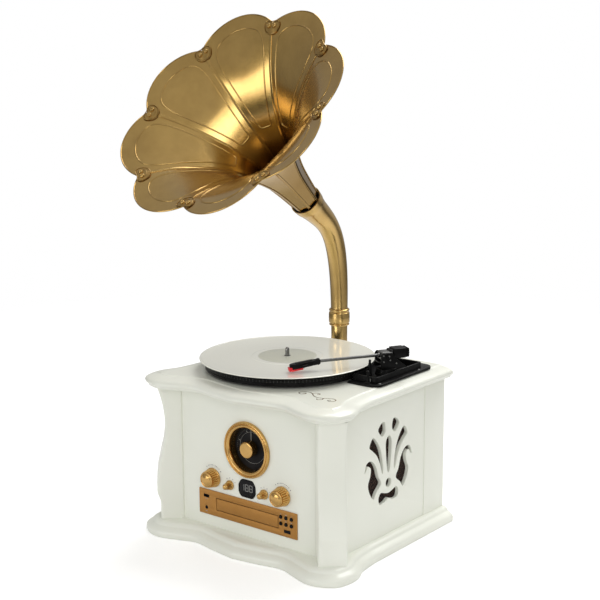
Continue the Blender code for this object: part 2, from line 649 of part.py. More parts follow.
def head_matrix():
    """Frame at the collar: X towards the head's tip, Z up."""
    turn = math.radians(HEAD_ANGLE)
    along = Vector((math.cos(turn), math.sin(turn), -HEAD_DROP / HEAD_LENGTH)).normalized()
    left = Vector((0, 0, 1)).cross(along).normalized()
    axes = Matrix((along, left, along.cross(left))).transposed().to_4x4()
    return Matrix.Translation(COLLAR) @ axes


def make_head():
    shape = [(2.5, -4.0), (9.0, -4.0), (15.0, -7.5), (46.0, -7.5), (HEAD_LENGTH, -4.0)]
    shape += [(x, -y) for x, y in reversed(shape)]
    shell = joined(plate(shape, -3.6, 3.2), rod_along(4.6, 1.0, 11.0, 14))
    shell.transform(head_matrix())
    add("headshell", shell, BLACK, COLLAR)
    stylus = block((34.0, 50.0), (-3.5, 3.5), (-6.4, -3.9))
    tip = turned([(0, -8.2), (0.5, -8.0), (1.2, -5.5), (0, -5.5)], 8, (42.0, 0, 0))
    stylus = joined(stylus, tip)
    stylus.transform(head_matrix())
    add("stylus", stylus, ((0.7, 0.02, 0.03), 0.35), COLLAR)


def make_speed_lever():
    x, y, low = 150.0, -4.0, DECK_TOP + GAP
    foot = block((x - 5.0, x + 5.0), (y - 2.5, y + 2.5), (low, low + 1.6))
    stem = block((x - 1.4, x + 1.4), (y - 1.4, y + 1.4), (low + 1.0, low + 17.0))
    grip = block((x - 2.6, x + 2.6), (y - 2.2, y + 2.2), (low + 13.0, low + 21.0))
    add("speed_lever", joined(foot, stem, grip), GREY, (x, y, low))


# ---------------------------------------------------------------- horn
def horn_axes():
    heading = Matrix.Rotation(HORN_HEADING, 3, "Z")
    forward = heading @ Vector((0, -math.cos(HORN_TILT), math.sin(HORN_TILT)))
    across = heading @ Vector((1, 0, 0))
    return forward, across, forward.cross(across)


def mouth():
    """Middle of the horn's mouth."""
    heading = Matrix.Rotation(HORN_HEADING, 3, "Z")
    return Vector((TUBE_X, TUBE_Y, MOUTH_Z)) + heading @ Vector((0, -MOUTH_REACH, 0))


def horn_point(radius, angle, depth):
    forward, across, upward = horn_axes()
    return mouth() + radius * (math.cos(angle) * across + math.sin(angle) * upward) - depth * forward


def horn_matrix():
    """Frame at the mouth: Z out of the mouth."""
    forward, across, upward = horn_axes()
    return Matrix.Translation(mouth()) @ Matrix((across, upward, forward)).transposed().to_4x4()


def horn_profile():
    """(depth, radius) of the flare along its seams, from the throat past the rim."""
    points = [(257.0, 23.4), (205.0, 30.0), (166.0, 37.5), (120.0, 54.0), (80.0, 79.0), (40.0, 118.0)]
    return smooth_path(points + [(12.0, 155.0), (0.0, CLIP_RADIUS), (-9.6, TIP_RADIUS + 2.0)], 6)


def at_radius(radius):
    """Depth of the flare where it has this radius."""
    path = horn_profile()
    for (depth0, radius0), (depth1, radius1) in zip(path, path[1:]):
        if radius0 <= radius <= radius1:
            share = (radius - radius0) / (radius1 - radius0)
            return depth0 + (depth1 - depth0) * share
    return path[-1][0]


def petal_edge(angle):
    """Radius of a petal's round outer edge, at an angle from its middle line."""
    middle = TIP_RADIUS - EDGE_ARC
    return middle * math.cos(angle) + math.sqrt(EDGE_ARC ** 2 - (middle * math.sin(angle)) ** 2)


def petal_surface(turn, lift):
    """Grid of points of one petal, its sheet's face this far out from the horn's inside."""
    half = math.pi / PETALS
    columns, rows = 6, 10
    grid = []
    for row in range(rows + 1):
        line = []
        for column in range(columns + 1):
            share = 2.0 * column / columns - 1.0
            throat = horn_profile()[0][1]
            angle_full = share * half
            end = petal_edge(angle_full)
            radius = throat * (end / throat) ** ((row / rows) ** 1.35)
            depth = at_radius(radius)
            inset = math.asin(0.5 * GAP / radius)
            angle = share * (half - inset)
            flat = math.cos(half) / math.cos(angle_full)
            round_share = min(1.0, max(0.0, (radius - FLAT_RADIUS) / (CLIP_RADIUS - FLAT_RADIUS)))
            squash = flat + (1.0 - flat) * round_share
            line.append(horn_point(radius * squash + lift * 0.6, turn + angle, depth + lift * 0.8))
        grid.append(line)
    return grid


def make_petal(number):
    turn = 2 * math.pi * (number - 0.5) / PETALS + HORN_ROLL
    bm = bmesh.new()
    inside, outside = [
        [[bm.verts.new(point) for point in line] for line in petal_surface(turn, lift)]
        for lift in (0.0, PETAL_SHEET)
    ]
    rows, columns = len(inside), len(inside[0])
    for sheet in (inside, outside):
        for r in range(rows - 1):
            for c in range(columns - 1):
                bm.faces.new((sheet[r][c], sheet[r][c + 1], sheet[r + 1][c + 1], sheet[r + 1][c]))
    border = [(0, c) for c in range(columns)] + [(r, columns - 1) for r in range(1, rows)]
    border += [(rows - 1, c) for c in range(columns - 2, -1, -1)] + [(r, 0) for r in range(rows - 2, 0, -1)]
    for (r0, c0), (r1, c1) in zip(border, border[1:] + border[:1]):
        bm.faces.new((inside[r0][c0], inside[r1][c1], outside[r1][c1], outside[r0][c0]))
    add(f"horn_petal_{number}", bm, BRASS, (TUBE_X, TUBE_Y, ELBOW_TOP_Z))


def elbow_path(steps):
    """Points and directions down the elbow, from the horn's socket to the coupling."""
    forward = horn_axes()[0]
    start = mouth() - SOCKET_DEPTH * forward
    end = Vector((TUBE_X, TUBE_Y, ELBOW_TOP_Z))
    p0, p1, p2, p3 = start, start - 76.0 * forward, end + Vector((0, 0, 164.0)), end
    path = []
    for k in range(steps + 1):
        t = k / steps
        point = p0 * (1 - t) ** 3 + p1 * 3 * t * (1 - t) ** 2 + p2 * 3 * t * t * (1 - t) + p3 * t ** 3
        slope = (p1 - p0) * (1 - t) ** 2 + (p2 - p1) * 2 * t * (1 - t) + (p3 - p2) * t * t
        path.append((point, slope.normalized()))
    return path


def make_elbow():
    wall, segments = 1.4, 18
    radii = [(0.0, 28.8), (0.06, 27.6), (0.1, 25.0), (0.2, 22.6), (0.45, 19.0), (0.75, 17.2), (1.0, 15.4)]
    radii = smooth_path(radii, 4)
    path = elbow_path(ELBOW_STEPS)
    stations = [(point, slope, radius_at(radii, k / ELBOW_STEPS)) for k, (point, slope) in enumerate(path)]
    stations.append((Vector((TUBE_X, TUBE_Y, ELBOW_LOW_Z)), Vector((0, 0, -1)), 15.4))
    outside = [tube_ring(*station, segments) for station in stations]
    inside = [tube_ring(point, slope, radius - wall, segments) for point, slope, radius in stations]
    bm, _ = skin(outside + inside[::-1], closed=True)
    add("horn_elbow", bm, BRASS, (TUBE_X, TUBE_Y, ELBOW_TOP_Z))


def radius_at(radii, share):
    for (s0, r0), (s1, r1) in zip(radii, radii[1:]):
        if s0 <= share <= s1 and s1 > s0:
            return r0 + (r1 - r0) * (share - s0) / (s1 - s0)
    return radii[-1][1]


def tube_ring(point, slope, radius, segments):
    """Ring of points round the elbow, which bends in one upright plane."""
    across = horn_axes()[1]
    other = slope.cross(across)
    turns = [2 * math.pi * k / segments for k in range(segments)]
    return [point + radius * (math.cos(t) * across + math.sin(t) * other) for t in turns]


def make_horn_support():
    centre = (TUBE_X, TUBE_Y, 0)
    inner, outer = TUBE_RADIUS_BASE - 1.5, TUBE_RADIUS_BASE
    tube = [(inner, 206.0), (outer, 206.0), (outer, 331.0), (inner, 331.0)]
    add("horn_base_tube", turned(tube, 24, centre), BRASS)
    bore = 15.7
    sleeve = [(bore, 315.5), (17.6, 315.5), (17.2, 319.0), (19.1, 321.6), (19.1, 340.4)]
    sleeve += [(17.4, 342.4), (17.8, 346.6), (bore, 346.6)]
    add("horn_coupling", turned(sleeve, 24, centre), BRASS)
    flange_front, flange_back = BACK_Y + GAP, 189.2
    flange = block((TUBE_X - 34.0, TUBE_X + 34.0), (flange_front, flange_back), (186.0, 250.0))
    socket = turned([(0, 198.0), (21.0, 198.0), (21.0, 248.0), (0, 248.0)], 28, centre)
    socket = cut(socket, block((TUBE_X - 30.0, TUBE_X + 30.0), (170.0, flange_front), (190.0, 255.0)))
    bracket = cut(joined(flange, socket), turned(cylinder(TUBE_RADIUS_BASE + GAP, 203.0, 260.0), 24, centre))
    add("horn_bracket", bracket, BRASS)


def make_gasket():
    low, high = -254.5, -250.5
    ring = turned([(25.0, low), (25.6, low), (25.6, high), (25.0, high)], 30)
    ring.transform(horn_matrix())
    add("throat_gasket", ring, ((0.02, 0.018, 0.015), 0.8), (TUBE_X, TUBE_Y, ELBOW_TOP_Z))


def main():
    clear_scene()
    make_boards()
    make_front()
    make_back()
    make_sides()
    make_posts()
    make_speakers()
    make_main_board()
    make_strip()
    make_ports()
    make_buttons()
    make_disc_drive()
    make_dial()
    make_knobs()
    make_drive()
    make_turntable()
    make_deck()
    make_pedestal_and_yoke()
    make_tonearm()
    make_head()
    make_speed_lever()
    for number in range(1, PETALS + 1):
        make_petal(number)
    make_elbow()
    make_horn_support()
    make_gasket()


main()
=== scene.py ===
"""Looks of the horn record player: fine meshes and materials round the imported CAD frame.

Lengths are millimetres here and become metres when a mesh is made. X points right,
Y to the back and Z up, as in the frame. Profiles of turned parts are (radius, height).
"""

import json
import math

import bmesh
import bpy
from mathutils import Matrix, Vector


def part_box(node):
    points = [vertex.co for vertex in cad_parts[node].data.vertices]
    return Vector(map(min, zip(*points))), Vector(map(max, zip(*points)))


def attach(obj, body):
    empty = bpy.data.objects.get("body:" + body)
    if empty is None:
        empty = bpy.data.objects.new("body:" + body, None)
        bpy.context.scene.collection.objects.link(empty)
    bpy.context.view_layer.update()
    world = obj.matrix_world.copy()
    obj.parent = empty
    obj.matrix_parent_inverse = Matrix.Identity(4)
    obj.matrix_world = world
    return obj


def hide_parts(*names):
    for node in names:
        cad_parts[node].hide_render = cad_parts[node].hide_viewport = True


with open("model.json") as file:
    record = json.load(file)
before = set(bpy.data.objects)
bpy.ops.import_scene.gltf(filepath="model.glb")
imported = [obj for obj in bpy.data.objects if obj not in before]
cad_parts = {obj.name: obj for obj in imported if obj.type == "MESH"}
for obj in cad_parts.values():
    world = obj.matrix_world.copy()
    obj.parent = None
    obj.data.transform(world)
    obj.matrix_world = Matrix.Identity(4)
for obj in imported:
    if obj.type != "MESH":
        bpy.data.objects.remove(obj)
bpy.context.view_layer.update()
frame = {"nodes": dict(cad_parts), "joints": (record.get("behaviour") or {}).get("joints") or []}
MM = 0.001
UP = Vector((0, 0, 1))


def at(x, y, z):
    return Matrix.Translation((x, y, z))


def rotation(degrees, axis):
    return Matrix.Rotation(math.radians(degrees), 4, axis)


def axes_at(place, *axes):
    return at(*place) @ Matrix(axes).transposed().to_4x4()


FRONT_TO_WORLD = rotation(90, "X")
OUT_OF_BACK = rotation(-90, "X")
XZ_PLATE = Matrix(((1, 0, 0, 0), (0, 0, 1, 0), (0, 1, 0, 0), (0, 0, 0, 1)))


# ---------------------------------------------------------------- places, from the frame
def corners(node):
    """Lowest and highest corner of a CAD node, in millimetres."""
    low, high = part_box(node)
    return low / MM, high / MM


def middle(node):
    low, high = corners(node)
    return (low + high) / 2


def heights(node):
    """Lowest and highest Z of a CAD node."""
    return [corner.z for corner in corners(node)]


def joint_place(name):
    found = [joint for joint in frame["joints"] if joint["name"] == name][0]
    return Vector(found["pos_m"]) / MM


def half_width(node):
    low, high = corners(node)
    return (high.x - low.x) / 2


SPINDLE = joint_place("platter_spin")
PIVOT = joint_place("tonearm_swing")
HORN_FOOT = joint_place("horn_swivel")
MOTOR = joint_place("motor_spin")
DIAL = joint_place("pointer_turn")
TOP_UNDER, TOP = heights("top_board")
BASE_TOP = heights("base_board")[1]
BACK_EDGE = corners("base_board")[1].y
BACK_FACE = corners("back_panel")[1].y
FRONT_Y = corners("front_panel")[0].y
STRIP_FRONT = corners("fascia_strip")[0].y
SIDE_X = corners("side_panel_right")[1].x - 1.5  # without the pilaster strip
RECORD_LOW, RECORD_TOP = heights("record")
RECORD_RADIUS, PLATTER_RADIUS = half_width("record"), half_width("platter")
DECK_LOW = heights("deck_plate")[0]
DECK_TOP, RIM_TOP = DECK_LOW + 3.7, DECK_LOW + 13.7

HORN_TILT, HORN_ROLL = math.radians(40.5), math.radians(3)
HORN_TURN = Matrix.Rotation(math.radians(-1.4), 3, "Z")
MOUTH_REACH, MOUTH_Z = 284.4, 717.5
PETALS = 8
HALF_TURN = math.pi / PETALS
CLIP_RADIUS, TIP_RADIUS, EDGE_ARC = 179, 211.2, 82.3
FLAT_RADIUS = 105  # petals are flat across up to here
SOCKET_DEPTH, THROAT_DEPTH = 249, 257
ELBOW_TOP_Z, ELBOW_LOW_Z = 348, 332
RIM_INSET, SEAM_INSET, LOOP_END = 25, 12.6, 61
FORWARD = HORN_TURN @ Vector((0, -math.cos(HORN_TILT), math.sin(HORN_TILT)))
ACROSS = HORN_TURN @ Vector((1, 0, 0))
UPWARD = FORWARD.cross(ACROSS)
MOUTH = Vector((HORN_FOOT.x, HORN_FOOT.y, MOUTH_Z)) + HORN_TURN @ Vector((0, -MOUTH_REACH, 0))


# ---------------------------------------------------------------- outlines
def mirrored(points):
    return [(-x, y) for x, y in reversed(points)]


def flipped(points):
    return [(x, -y) for x, y in reversed(points)]


def rectangle(x0, x1, y0, y1):
    return [(x0, y0), (x1, y0), (x1, y1), (x0, y1)]


def front_view(node, wider=0, higher=0):
    """Rectangle of a CAD node seen from the front, grown on each side."""
    low, high = corners(node)
    return rectangle(low.x - wider, high.x + wider, low.z - higher, high.z + higher)


def oval(half_x, half_y, count=10, x=0, y=0):
    turns = [2 * math.pi * k / count for k in range(count)]
    return [(x + half_x * math.cos(t), y + half_y * math.sin(t)) for t in turns]


def circle(x, y, radius, count=48):
    return oval(radius, radius, count, x, y)


def arc(x, y, radius, start, end, steps):
    """Points on a circle from one angle to another, in degrees."""
    turns = [math.radians(start + (end - start) * k / steps) for k in range(steps + 1)]
    return [(x + radius * math.cos(t), y + radius * math.sin(t)) for t in turns]


def softened(points, reach, steps=4, closed=True):
    """Outline with every corner rounded, starting this far before it."""
    count = len(points)
    path = []
    for i, point in enumerate(points):
        corner = Vector(point)
        if not closed and i in (0, count - 1):
            path.append(tuple(corner))
            continue
        before, after = Vector(points[i - 1]), Vector(points[(i + 1) % count])
        near = min(reach, (corner - before).length * 0.45, (after - corner).length * 0.45)
        a = corner + (before - corner).normalized() * near
        b = corner + (after - corner).normalized() * near
        for k in range(steps + 1):
            t = k / steps
            path.append(tuple(a * (1 - t) ** 2 + corner * 2 * t * (1 - t) + b * t * t))
    return path


def curve_point(before, start, end, after, t):
    """Point of the Catmull-Rom curve between two control points."""
    return tuple(
        0.5 * (2 * q + (r - p) * t + (2 * p - 5 * q + 4 * r - s) * t * t + (3 * q - p - 3 * r + s) * t ** 3)
        for p, q, r, s in zip(before, start, end, after)
    )


def curve(controls, steps):
    path = []
    for i in range(len(controls) - 3):
        path += [curve_point(*controls[i:i + 4], k / steps) for k in range(steps)]
    return path


def smooth_path(points, steps):
    """Open smooth curve through the points."""
    return curve([points[0], *points, points[-1]], steps) + [tuple(points[-1])]


def smooth_loop(points, steps):
    """Closed smooth curve through the points."""
    return curve([points[-1], *points, points[0], points[1]], steps)


def area(loop):
    return sum(a[0] * b[1] - b[0] * a[1] for a, b in zip(loop, loop[1:] + loop[:1])) / 2


def shifted(loop, distance):
    """Loop moved to the left of its direction of travel."""
    result = []
    for i, point in enumerate(loop):
        here = Vector(point)
        before = (here - Vector(loop[i - 1])).normalized()
        after = (Vector(loop[(i + 1) % len(loop)]) - here).normalized()
        normal = Vector((-before.y - after.y, before.x + after.x))
        stretch = 2 / max(normal.length_squared, 1)
        result.append(tuple(here + normal * stretch * distance))
    return result


def above(points, z):
    """Path of (point, up) pairs over flat points."""
    return [(Vector((x, y, z)), UP) for x, y in points]


# ---------------------------------------------------------------- meshes
def piece(name, bm, look, body="cabinet", slot=None, stands_for=(), sharp=38):
    """Turns a millimetre bmesh into a piece that rides on a body; its slot argument is not used."""
    bmesh.ops.recalc_face_normals(bm, faces=bm.faces[:])
    bm.transform(Matrix.Scale(MM, 4))
    mesh = bpy.data.meshes.new(name)
    bm.to_mesh(mesh)
    bm.free()
    mesh.materials.append(look)
    mesh.shade_smooth()
    mesh.set_sharp_from_angle(angle=math.radians(sharp))
    obj = bpy.data.objects.new(name, mesh)
    bpy.context.scene.collection.objects.link(obj)
    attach(obj, body)
    if stands_for:
        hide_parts(*stands_for)


def shape(node, bm, look, body="cabinet", **settings):
    """Piece that takes the place of one CAD node."""
    piece(node + "_shape", bm, look, body, stands_for=[node], **settings)


def dress(look, *nodes):
    """Gives CAD nodes that stay a finer material."""
    for name in nodes:
        mesh = frame["nodes"][name].data
        mesh.materials.clear()
        mesh.materials.append(look)


def merged(*shapes):
    """One bmesh holding all the closed shapes."""
    whole = bmesh.new()
    for bm in shapes:
        bmesh.ops.recalc_face_normals(bm, faces=bm.faces[:])
        mesh = bpy.data.meshes.new("part")
        bm.to_mesh(mesh)
        bm.free()
        whole.from_mesh(mesh)
        bpy.data.meshes.remove(mesh)
    return whole


def moved(bm, matrix):
    bm.transform(matrix)
    return bm


def bridge(bm, lower, upper):
    for k in range(len(lower)):
        m = (k + 1) % len(lower)
        bm.faces.new((lower[k], lower[m], upper[m], upper[k]))


def filled(bm, loops):
    edges = [bm.edges.get((loop[i - 1], loop[i])) for loop in loops for i in range(len(loop))]
    bmesh.ops.triangle_fill(bm, use_beauty=True, edges=edges)


def skin(rings, closed=False):
    """Surface through equal rings of points: back to the first ring, or with its ends filled."""
    bm = bmesh.new()
    loops = [[bm.verts.new(point) for point in ring] for ring in rings]
    for lower, upper in zip(loops, loops[1:]):
        bridge(bm, lower, upper)
    if closed:
        bridge(bm, loops[-1], loops[0])
    else:
        filled(bm, loops[:1])
        filled(bm, loops[-1:])
    return bm


def soft_plate(outline, low, high, holes=(), top=1, bottom=0, steps=3):
    """Flat plate from low to high in Z whose edges are rounded on top and at the bottom."""
    turns = [math.radians(90 * k / steps) for k in range(steps + 1)]
    levels = [(top * (1 - math.cos(t)), high - top + top * math.sin(t)) for t in turns]
    below = [(bottom * (1 - math.sin(t)), low + bottom * (1 - math.cos(t))) for t in turns]
    levels = (below if bottom else below[:1]) + levels
    bm = bmesh.new()
    bottom_loops, top_loops = [], []
    for number, loop in enumerate((outline, *holes)):
        if (number == 0) != (area(loop) > 0):
            loop = loop[::-1]
        rings = [[bm.verts.new((*point, z)) for point in shifted(loop, inset)] for inset, z in levels]
        for lower, upper in zip(rings, rings[1:]):
            bridge(bm, lower, upper)
        bottom_loops.append(rings[0])
        top_loops.append(rings[-1])
    filled(bm, bottom_loops)
    filled(bm, top_loops)
    return bm


def front_plate(outline, front, back, holes=(), edge=0.5):
    """Plate in X and Z between two Y values, its front edges rounded."""
    return moved(soft_plate(outline, -back, -front, holes, edge), FRONT_TO_WORLD)


def back_plate(outline, inner, outer, holes=(), edge=0.6):
    """Plate drawn in X and Z whose softened face looks to the back."""
    return moved(soft_plate(outline, inner, outer, holes, edge), XZ_PLATE)


def side_plate(outline, inner, outer, holes=(), edge=0.5):
    """Plate in Y and Z between two X values, its outer edges rounded."""
    side = 1 if outer > inner else -1
    bm = soft_plate(outline, side * inner, side * outer, holes, edge)
    return moved(bm, Matrix(((0, 0, side, 0), (1, 0, 0, 0), (0, 1, 0, 0), (0, 0, 0, 1))))


def turned(profile, segments=96, centre=(0, 0, 0), soft=None, waves=None):
    """Outline of (radius, height) points turned about Z.

    A profile that starts on the axis is open, any other one is a closed outline. Its corners
    are rounded when soft gives (reach, steps), and waves gives flutes to some heights.
    """
    if soft:
        profile = softened(profile, *soft, closed=profile[0][0] > 0)
    bm = bmesh.new()
    rings = []
    for radius, height in profile:
        if radius < 1e-6:
            rings.append([bm.verts.new((0, 0, height))])
            continue
        ring = []
        for k in range(segments):
            turn = 2 * math.pi * k / segments
            here = radius - (waves(turn, height) if waves else 0)
            ring.append(bm.verts.new((here * math.cos(turn), here * math.sin(turn), height)))
        rings.append(ring)
    for lower, upper in zip(rings, rings[1:] + rings[:1]):
        for k in range(segments):
            around = []
            for ring, step in ((lower, k), (lower, k + 1), (upper, k + 1), (upper, k)):
                vert = ring[step % len(ring)]
                if vert not in around:
                    around.append(vert)
            if len(around) > 2:
                bm.faces.new(around)
    return moved(bm, at(*centre))


def front_turned(profile, place, segments=96, soft=None, waves=None):
    """Turned shape whose heights run towards the viewer, from a place on the front."""
    return moved(turned(profile, segments, soft=soft, waves=waves), at(*place) @ FRONT_TO_WORLD)


def soft_block(xs, ys, zs, edge=0.6):
    """Block with all its edges rounded."""
    bm = bmesh.new()
    bmesh.ops.create_cube(bm, size=1)
    size = [hi - lo for lo, hi in (xs, ys, zs)]
    centre = [(hi + lo) / 2 for lo, hi in (xs, ys, zs)]
    bm.transform(at(*centre) @ Matrix.Diagonal((*size, 1)))
    bmesh.ops.bevel(bm, geom=bm.edges[:], offset=edge, segments=3, profile=0.5, affect="EDGES")
    return bm


def rod(radius, start, end, segments=40, edge=0.4):
    """Rod along the local X axis with rounded ends."""
    profile = [(0, start), (radius, start), (radius, end), (0, end)]
    return moved(turned(profile, segments, soft=(edge, 3)), rotation(90, "Y"))


def swept(path, section, closed=False):
    """Section of (side, up) points carried along a path of (point, up) pairs."""
    rings = []
    count = len(path)
    for i, (point, rise) in enumerate(path):
        before = path[i - 1][0] if i or closed else point
        after = path[(i + 1) % count][0] if i < count - 1 or closed else point
        along = (after - before).normalized()
        side = along.cross(rise).normalized()
        top = side.cross(along)
        rings.append([point + side * a + top * b for a, b in section])
    return skin(rings, closed)


def sheet_pair(inside, outside):
    """Closed thin sheet between two grids of points."""
    bm = bmesh.new()
    grids = [[[bm.verts.new(point) for point in row] for row in grid] for grid in (inside, outside)]
    rows, columns = len(inside), len(inside[0])
    for grid in grids:
        for r in range(rows - 1):
            for c in range(columns - 1):
                bm.faces.new((grid[r][c], grid[r][c + 1], grid[r + 1][c + 1], grid[r + 1][c]))
    border = [(0, c) for c in range(columns)] + [(r, columns - 1) for r in range(1, rows)]
    border += [(rows - 1, c) for c in range(columns - 2, -1, -1)] + [(r, 0) for r in range(rows - 2, 0, -1)]
    bridge(bm, *[[grid[r][c] for r, c in border] for grid in grids])
    return bm


def screw(place, radius, turn=Matrix.Identity(4)):
    """Domed cross head screw standing on a face; its own Z points out of the face."""
    dome = [(0, -0.5), (radius, -0.5), (radius, 0.3), (radius * 0.75, 0.8), (radius * 0.3, 1), (0, 1)]
    long, short, depth = (-radius * 0.6, radius * 0.6), (-0.22, 0.22), (0.75, 1.06)
    bars = [soft_block(long, short, depth, 0.05), soft_block(short, long, depth, 0.05)]
    return moved(merged(turned(dome, 24, soft=(0.2, 2)), *bars), at(*place) @ turn)


# ---------------------------------------------------------------- materials
def add_node(tree, kind, inputs, **settings):
    """Shader node; each input, by name or place, is a value or another node's output."""
    made = tree.nodes.new("ShaderNode" + kind)
    for key, value in settings.items():
        setattr(made, key, value)
    for key, value in inputs.items():
        give(tree, made.inputs[key], value)
    return made


def give(tree, socket, value):
    if isinstance(value, bpy.types.NodeSocket):
        tree.links.new(value, socket)
    else:
        socket.default_value = value


def smoothstep(tree, value, start, end, low=0, high=1):
    """Value taken smoothly from low, at start, to high, at end."""
    inputs = {"Value": value, "From Min": start, "From Max": end, "To Min": low, "To Max": high}
    return add_node(tree, "MapRange", inputs, interpolation_type="SMOOTHSTEP").outputs["Result"]


class Look:
    """Builder of one procedural material: shader node, and texture nodes in object space."""

    def __init__(self, name, colour, roughness, metallic=0):
        self.material = bpy.data.materials.new(name)
        self.material.use_nodes = True
        self.tree = self.material.node_tree
        self.shader = self.tree.nodes["Principled BSDF"]
        self.set("Base Color", (*colour, 1))
        self.set("Roughness", roughness)
        self.set("Metallic", metallic)
        texture_place = self.node("TexCoord").outputs
        self.place = texture_place["Object"]
        self.normal = texture_place["Normal"]
        self.relief = None

    def set(self, name, value):
        give(self.tree, self.shader.inputs[name], value)

    def coat(self, weight, roughness):
        self.set("Coat Weight", weight)
        self.set("Coat Roughness", roughness)

    def node(self, kind, inputs=None, **settings):
        return add_node(self.tree, kind, inputs or {}, **settings)

    def stretched(self, *scale):
        """Coordinates stretched by three factors, for brushed or grained surfaces."""
        return self.node("Mapping", {"Scale": scale, "Vector": self.place}).outputs["Vector"]

    def noise(self, scale, detail=3, place=None):
        inputs = {"Scale": scale, "Detail": detail, "Vector": place or self.place}
        return self.node("TexNoise", inputs).outputs["Fac"]

    def math(self, operation, a, b=0, c=0):
        return self.node("Math", {0: a, 1: b, 2: c}, operation=operation).outputs[0]

    def vector(self, operation, a, b=(0, 0, 0), output="Vector"):
        return self.node("VectorMath", {0: a, 1: b}, operation=operation).outputs[output]

    def colour(self, value, *stops):
        """Makes the colour follow a value through (place, colour) stops."""
        made = self.node("ValToRGB", {"Fac": value})
        elements = made.color_ramp.elements
        while len(elements) < len(stops):
            elements.new(0.5)
        for element, (place, colour) in zip(elements, stops):
            element.position = place
            element.color = (*colour, 1)
        self.set("Base Color", made.outputs["Color"])

    def range(self, value, low, high):
        """Value from 0 to 1 taken to lie between low and high."""
        return self.node("MapRange", {"Value": value, "To Min": low, "To Max": high}).outputs["Result"]

    def rough(self, value, low, high):
        self.set("Roughness", self.range(value, low, high))

    def bump(self, height, millimetres, strength):
        inputs = {"Distance": millimetres * MM, "Strength": strength, "Height": height}
        if self.relief:
            inputs["Normal"] = self.relief
        self.relief = self.node("Bump", inputs).outputs["Normal"]
        self.set("Normal", self.relief)


def lacquer():
    """Gloss white paint over board: slight orange peel, faint warm and cool drifts."""
    look = Look("white_lacquer", (0.79, 0.79, 0.74), 0.2)
    look.colour(look.noise(7, 2), (0.3, (0.85, 0.865, 0.775)), (0.7, (0.87, 0.885, 0.8)))
    look.rough(look.noise(40, 4), 0.24, 0.38)
    look.coat(0.25, 0.16)
    look.bump(look.noise(260, 2), 0.06, 0.35)
    look.bump(look.noise(14, 1), 0.6, 0.08)
    return look.material


def brass_look(name, colour, dark, rough, age=1, coat=0.6):
    """Satin lacquered metal: fine brushing, soft tarnish, slightly uneven gloss."""
    look = Look(name, colour, rough, 1)
    patches = look.noise(9, 5)
    fine = look.noise(60, 3)
    tone = look.math("MULTIPLY_ADD", fine, 0.25, look.math("MULTIPLY", patches, 0.75))
    look.colour(tone, (0.32, dark), (0.62, colour))
    grain = look.noise(900, 2, look.stretched(1, 1, 0.06))
    look.rough(look.math("MULTIPLY_ADD", grain, 0.5, tone), rough - 0.05, rough + 0.09)
    look.bump(grain, 0.012, 0.2)
    look.bump(patches, 0.8, 0.12 * age)
    look.coat(coat, 0.14)
    return look


def brass(*settings):
    return brass_look(*settings).material


def aged_horn():
    """Brass of the horn with painted shade in the throat: dark brown deep inside it, fading out along the
    flare, and less dark on its outside.
    """
    look = brass_look("antique_brass_painted_throat_shade", (0.54, 0.35, 0.108), (0.42, 0.26, 0.073), 0.15, 1, 0.45)
    throat = (MOUTH - THROAT_DEPTH * FORWARD) * MM
    offset = look.vector("SUBTRACT", look.place, tuple(throat))
    distance = look.vector("LENGTH", offset, output="Value")
    along = look.vector("DOT_PRODUCT", offset, tuple(FORWARD), output="Value")
    axial = look.node("VectorMath", {0: FORWARD, "Scale": along}, operation="SCALE")
    radial = look.vector("SUBTRACT", offset, axial.outputs["Vector"])
    facing = look.vector("DOT_PRODUCT", radial, look.normal, output="Value")
    outside = look.math("MULTIPLY", look.math("GREATER_THAN", facing, 0), 0.48)
    share = look.math("MAXIMUM", smoothstep(look.tree, distance, 0.04, 0.21), outside)
    brass_colour_away_from_throat = look.shader.inputs["Base Color"].links[0].from_socket
    # Painted shade: colour A darkens the throat fully within 40 mm of its end and fades out by 210 mm; outer
    # faces keep at least 48% brass.
    colours = {"Factor": share, "A": (0.15, 0.085, 0.024, 1), "B": brass_colour_away_from_throat}
    look.set("Base Color", look.node("Mix", colours, data_type="RGBA").outputs["Result"])
    return look.material


def moulded(name, colour, roughness, gloss=0):
    """Moulded plastic with a fine spark-eroded grain and light scuffs."""
    look = Look(name, colour, roughness)
    scuffs = look.noise(55, 6)
    bright = tuple(min(1, channel * 1.5 + 0.004) for channel in colour)
    look.colour(scuffs, (0.4, colour), (0.75, bright))
    look.rough(scuffs, roughness - 0.08, roughness + 0.12)
    look.set("Coat Weight", gloss)
    look.set("Specular IOR Level", 0.1 + 0.3 * gloss)
    look.bump(look.noise(1400, 2), 0.04, 0.5 - 0.4 * gloss)
    return look.material


def steel(name, colour, roughness):
    """Turned bright metal: fine rings and a faint smudge."""
    look = Look(name, colour, roughness, 1)
    rings = look.noise(1500, 1, look.stretched(0.02, 0.02, 1))
    look.rough(rings, roughness - 0.06, roughness + 0.1)
    look.colour(look.noise(45, 3), (0.3, tuple(c * 0.85 for c in colour)), (0.7, colour))
    look.bump(rings, 0.02, 0.3)
    return look.material


